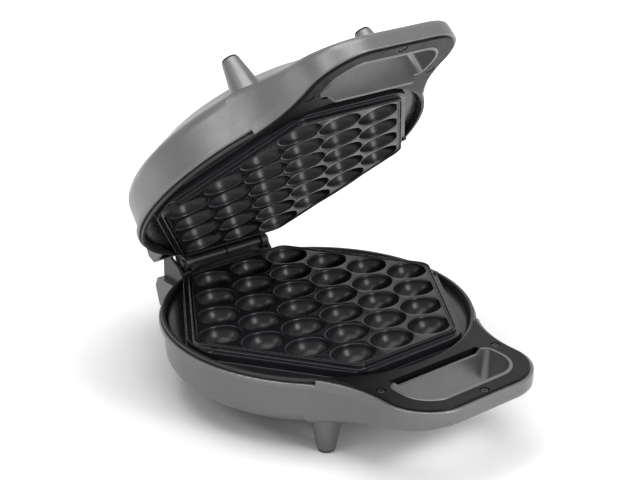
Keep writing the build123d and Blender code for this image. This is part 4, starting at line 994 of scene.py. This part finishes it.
@dataclass
class Studio:
    """Camera at the photograph's angle, pale floor, plain soft light. Metres and degrees."""

    azimuth: float = -40.65
    elevation: float = 22.56
    roll: float = 0.88
    distance: float = 1.0115
    target: Point3 = (0.00095, 0.00994, 0.1027)
    lens_mm: float = 87.56
    sensor_mm: float = 36.0
    sight: float = 50.0
    floor_half: float = 6.0
    floor_colour: str = "#f6f6f6"
    floor_roughness: float = 0.9
    glow_from: float = 0.12
    glow_full: float = 0.7
    glow_strength: float = 0.9
    world_light: float = 0.22
    world_seen: float = 1.0
    lamps: tuple[tuple[str, Point3, Point2, float], ...] = (
        ("overhead", (-0.2, -0.1, 2.1), (1.9, 1.9), 40.0),
        ("left", (-1.6, 0.0, 1.2), (0.9, 0.9), 7.0),
        ("strip", (0.3, -1.45, 0.6), (0.4, 1.0), 15.0),
    )

    def camera(self) -> None:
        """Set the camera up."""
        azimuth, elevation, roll = (math.radians(v) for v in (self.azimuth, self.elevation, self.roll))
        back = Vector((math.sin(azimuth) * math.cos(elevation), -math.cos(azimuth) * math.cos(elevation),
                       math.sin(elevation)))
        right = Vector((math.cos(azimuth), math.sin(azimuth), 0))
        up = back.cross(right)
        across = right * math.cos(roll) + up * math.sin(roll)
        upward = up * math.cos(roll) - right * math.sin(roll)
        data = bpy.data.cameras.new("camera")
        data.lens = self.lens_mm
        data.sensor_width = self.sensor_mm
        data.clip_end = self.sight
        camera = linked("camera", data)
        turn = Matrix((across, upward, back)).transposed().to_4x4()
        camera.matrix_world = Matrix.Translation(Vector(self.target) + back * self.distance) @ turn
        bpy.context.scene.camera = camera

    def lamp(self, name: str, place: Point3, size: Point2, watts: float) -> None:
        """Hang a softbox that faces the maker.

        Args:
            name: name of the lamp.
            place: where it hangs.
            size: its width and height.
            watts: its power.
        """
        data = bpy.data.lights.new(name, "AREA")
        data.shape = "RECTANGLE"
        data.size, data.size_y = size
        data.energy = watts
        lamp = linked(name, data)
        look = (Vector(place) - Vector(self.target)).to_track_quat("Z", "Y")
        lamp.matrix_world = Matrix.Translation(place) @ look.to_matrix().to_4x4()

    def seen(self, tree: bpy.types.NodeTree) -> bpy.types.NodeSocket:
        """Tell the camera's rays, and those that metal and glass send on, from rays of light.

        Args:
            tree: the tree that asks.

        Returns:
            A socket that is 1 for the rays that show the background.
        """
        path = add_node(tree, "ShaderNodeLightPath")
        shown = add_node(tree, "ShaderNodeMath", {"operation": "MAXIMUM"}, links={
            0: path.outputs["Is Camera Ray"], 1: path.outputs["Is Glossy Ray"]})
        clear = add_node(tree, "ShaderNodeMath", {"operation": "MAXIMUM"}, links={
            0: shown.outputs[0], 1: path.outputs["Is Transmission Ray"]})
        return clear.outputs[0]

    def floor(self) -> None:
        """Lay the pale floor, which looks white away from the maker and keeps its shadow."""
        mesh = bpy.data.meshes.new("floor")
        far = self.floor_half
        mesh.from_pydata([(-far, -far, 0), (far, -far, 0), (far, far, 0), (-far, far, 0)], [], [(0, 1, 2, 3)])
        floor = linked("floor", mesh)
        material = bpy.data.materials.new("floor_paper")
        material.use_nodes = True
        tree = material.node_tree
        shader = tree.nodes["Principled BSDF"]
        shader.inputs["Base Color"].default_value = linear(self.floor_colour)
        shader.inputs["Roughness"].default_value = self.floor_roughness
        shader.inputs["Specular IOR Level"].default_value = 0.0
        seen = self.seen(tree)
        place = add_node(tree, "ShaderNodeTexCoord")
        away = add_node(tree, "ShaderNodeVectorMath", {"operation": "LENGTH"},
                        links={0: place.outputs["Object"]})
        fade = add_node(tree, "ShaderNodeMapRange", values={
            "From Min": self.glow_from, "From Max": self.glow_full, "To Min": 0.0,
            "To Max": self.glow_strength}, links={"Value": away.outputs["Value"]})
        glow = add_node(tree, "ShaderNodeMath", {"operation": "MULTIPLY"}, links={
            0: seen, 1: fade.outputs["Result"]})
        shader.inputs["Emission Color"].default_value = (1, 1, 1, 1)
        tree.links.new(glow.outputs[0], shader.inputs["Emission Strength"])
        mesh.materials.append(material)

    def world(self) -> None:
        """Light the surroundings evenly, and show them white."""
        world = bpy.data.worlds.new("studio")
        bpy.context.scene.world = world
        world.use_nodes = True
        tree = world.node_tree
        glow = tree.nodes["Background"]
        seen = self.seen(tree)
        level = add_node(tree, "ShaderNodeMapRange",
                         values={"To Min": self.world_light, "To Max": self.world_seen},
                         links={"Value": seen})
        glow.inputs["Color"].default_value = (1, 1, 1, 1)
        tree.links.new(level.outputs["Result"], glow.inputs["Strength"])

    def build(self) -> None:
        """Set up camera, light and floor."""
        self.camera()
        self.floor()
        self.world()
        for lamp in self.lamps:
            self.lamp(*lamp)
        bpy.context.scene.view_settings.view_transform = "Standard"


# The maker

COVER_SCREW_PLACES = ((-48.5, -115.0), (48.5, -115.0), (0.0, -152.8))
PLATE_SCREW_PLACES = ((-96.8, -12.0), (96.8, -12.0))
HINGE_SCREW_PLACES = ((-33.4, 101.5), (33.4, 101.5))


def half(side: Side) -> list[Any]:
    """Give the pieces that both halves have.

    Args:
        side: the half.

    Returns:
        Its pieces, in the order in which they are built.
    """
    name = side.value
    return [
        CookingPlate(side),
        BezelRing(side),
        Moulding(side, f"{name}_housing", METALLIC_LACQUER, 0.25, smooth_below=20.0),
        Moulding(side, f"{name}_feet", METALLIC_LACQUER, 0.2),
        Moulding(side, f"{name}_foot_pads", FOOT_RUBBER, 0.0),
        Moulding(side, f"{name}_handle_cover", COVER_PBT, 0.3),
        CrossScrews(side, f"{name}_handle_screws", COVER_SCREW_PLACES, 0.5),
        CrossScrews(side, f"{name}_plate_screws", PLATE_SCREW_PLACES, 2.0, head_r=1.9, head_t=0.9,
                    length=16.0),
        Carried(f"{name}_heating_element", ROLLED_STEEL),
        Carried(f"{name}_element_clips", ROLLED_STEEL),
        Carried(f"{name}_reflector", BRIGHT_SHEET),
        Carried(f"{name}_reflector_screws", ROLLED_STEEL),
        Carried(f"{name}_thermal_fuse", ROLLED_STEEL),
        Carried(f"{name}_fuse_clip", ROLLED_STEEL),
        Carried(f"{name}_foot_screws", ROLLED_STEEL),
    ]


def base_only() -> list[Any]:
    """Give the pieces of the base alone."""
    return [
        Moulding(Side.BASE, "hinge_block", HINGE_PBT, 0.3),
        Moulding(Side.BASE, "hinge_pin", BLACKENED_STEEL, 0.2),
        CrossScrews(Side.BASE, "hinge_block_screws", HINGE_SCREW_PLACES, 0.3, head_r=1.9, head_t=0.9,
                    length=17.0),
        Moulding(Side.BASE, "cord_gland", COVER_PBT, 0.3),
        Carried("terminal_block", TERMINAL_PA),
        Carried("terminal_screws", BLACKENED_STEEL),
        Carried("thermostat", PHENOLIC),
        Carried("thermostat_bracket", ROLLED_STEEL),
    ]


def lid_only() -> list[Any]:
    """Give the pieces of the lid alone."""
    return [
        Moulding(Side.LID, "lid_hinge_cover", HINGE_PBT, 0.3),
        Moulding(Side.LID, "power_lamp", RED_ACRYLIC, 0.0),
        Moulding(Side.LID, "ready_lamp", GREEN_ACRYLIC, 0.0),
        Carried("hinge_cover_screws", BLACKENED_STEEL),
        Carried("lamp_board", SOLDER_MASK),
        Carried("lamp_board_screws", BLACKENED_STEEL),
    ]


def main() -> None:
    """Build the studio and every piece in order."""
    logging.basicConfig(level=logging.INFO, format="%(name)s %(message)s")
    Studio().build()
    for piece in half(Side.BASE) + base_only() + half(Side.LID) + lid_only():
        piece.build()
    bpy.context.view_layer.update()


if __name__ == "__main__":
    main()
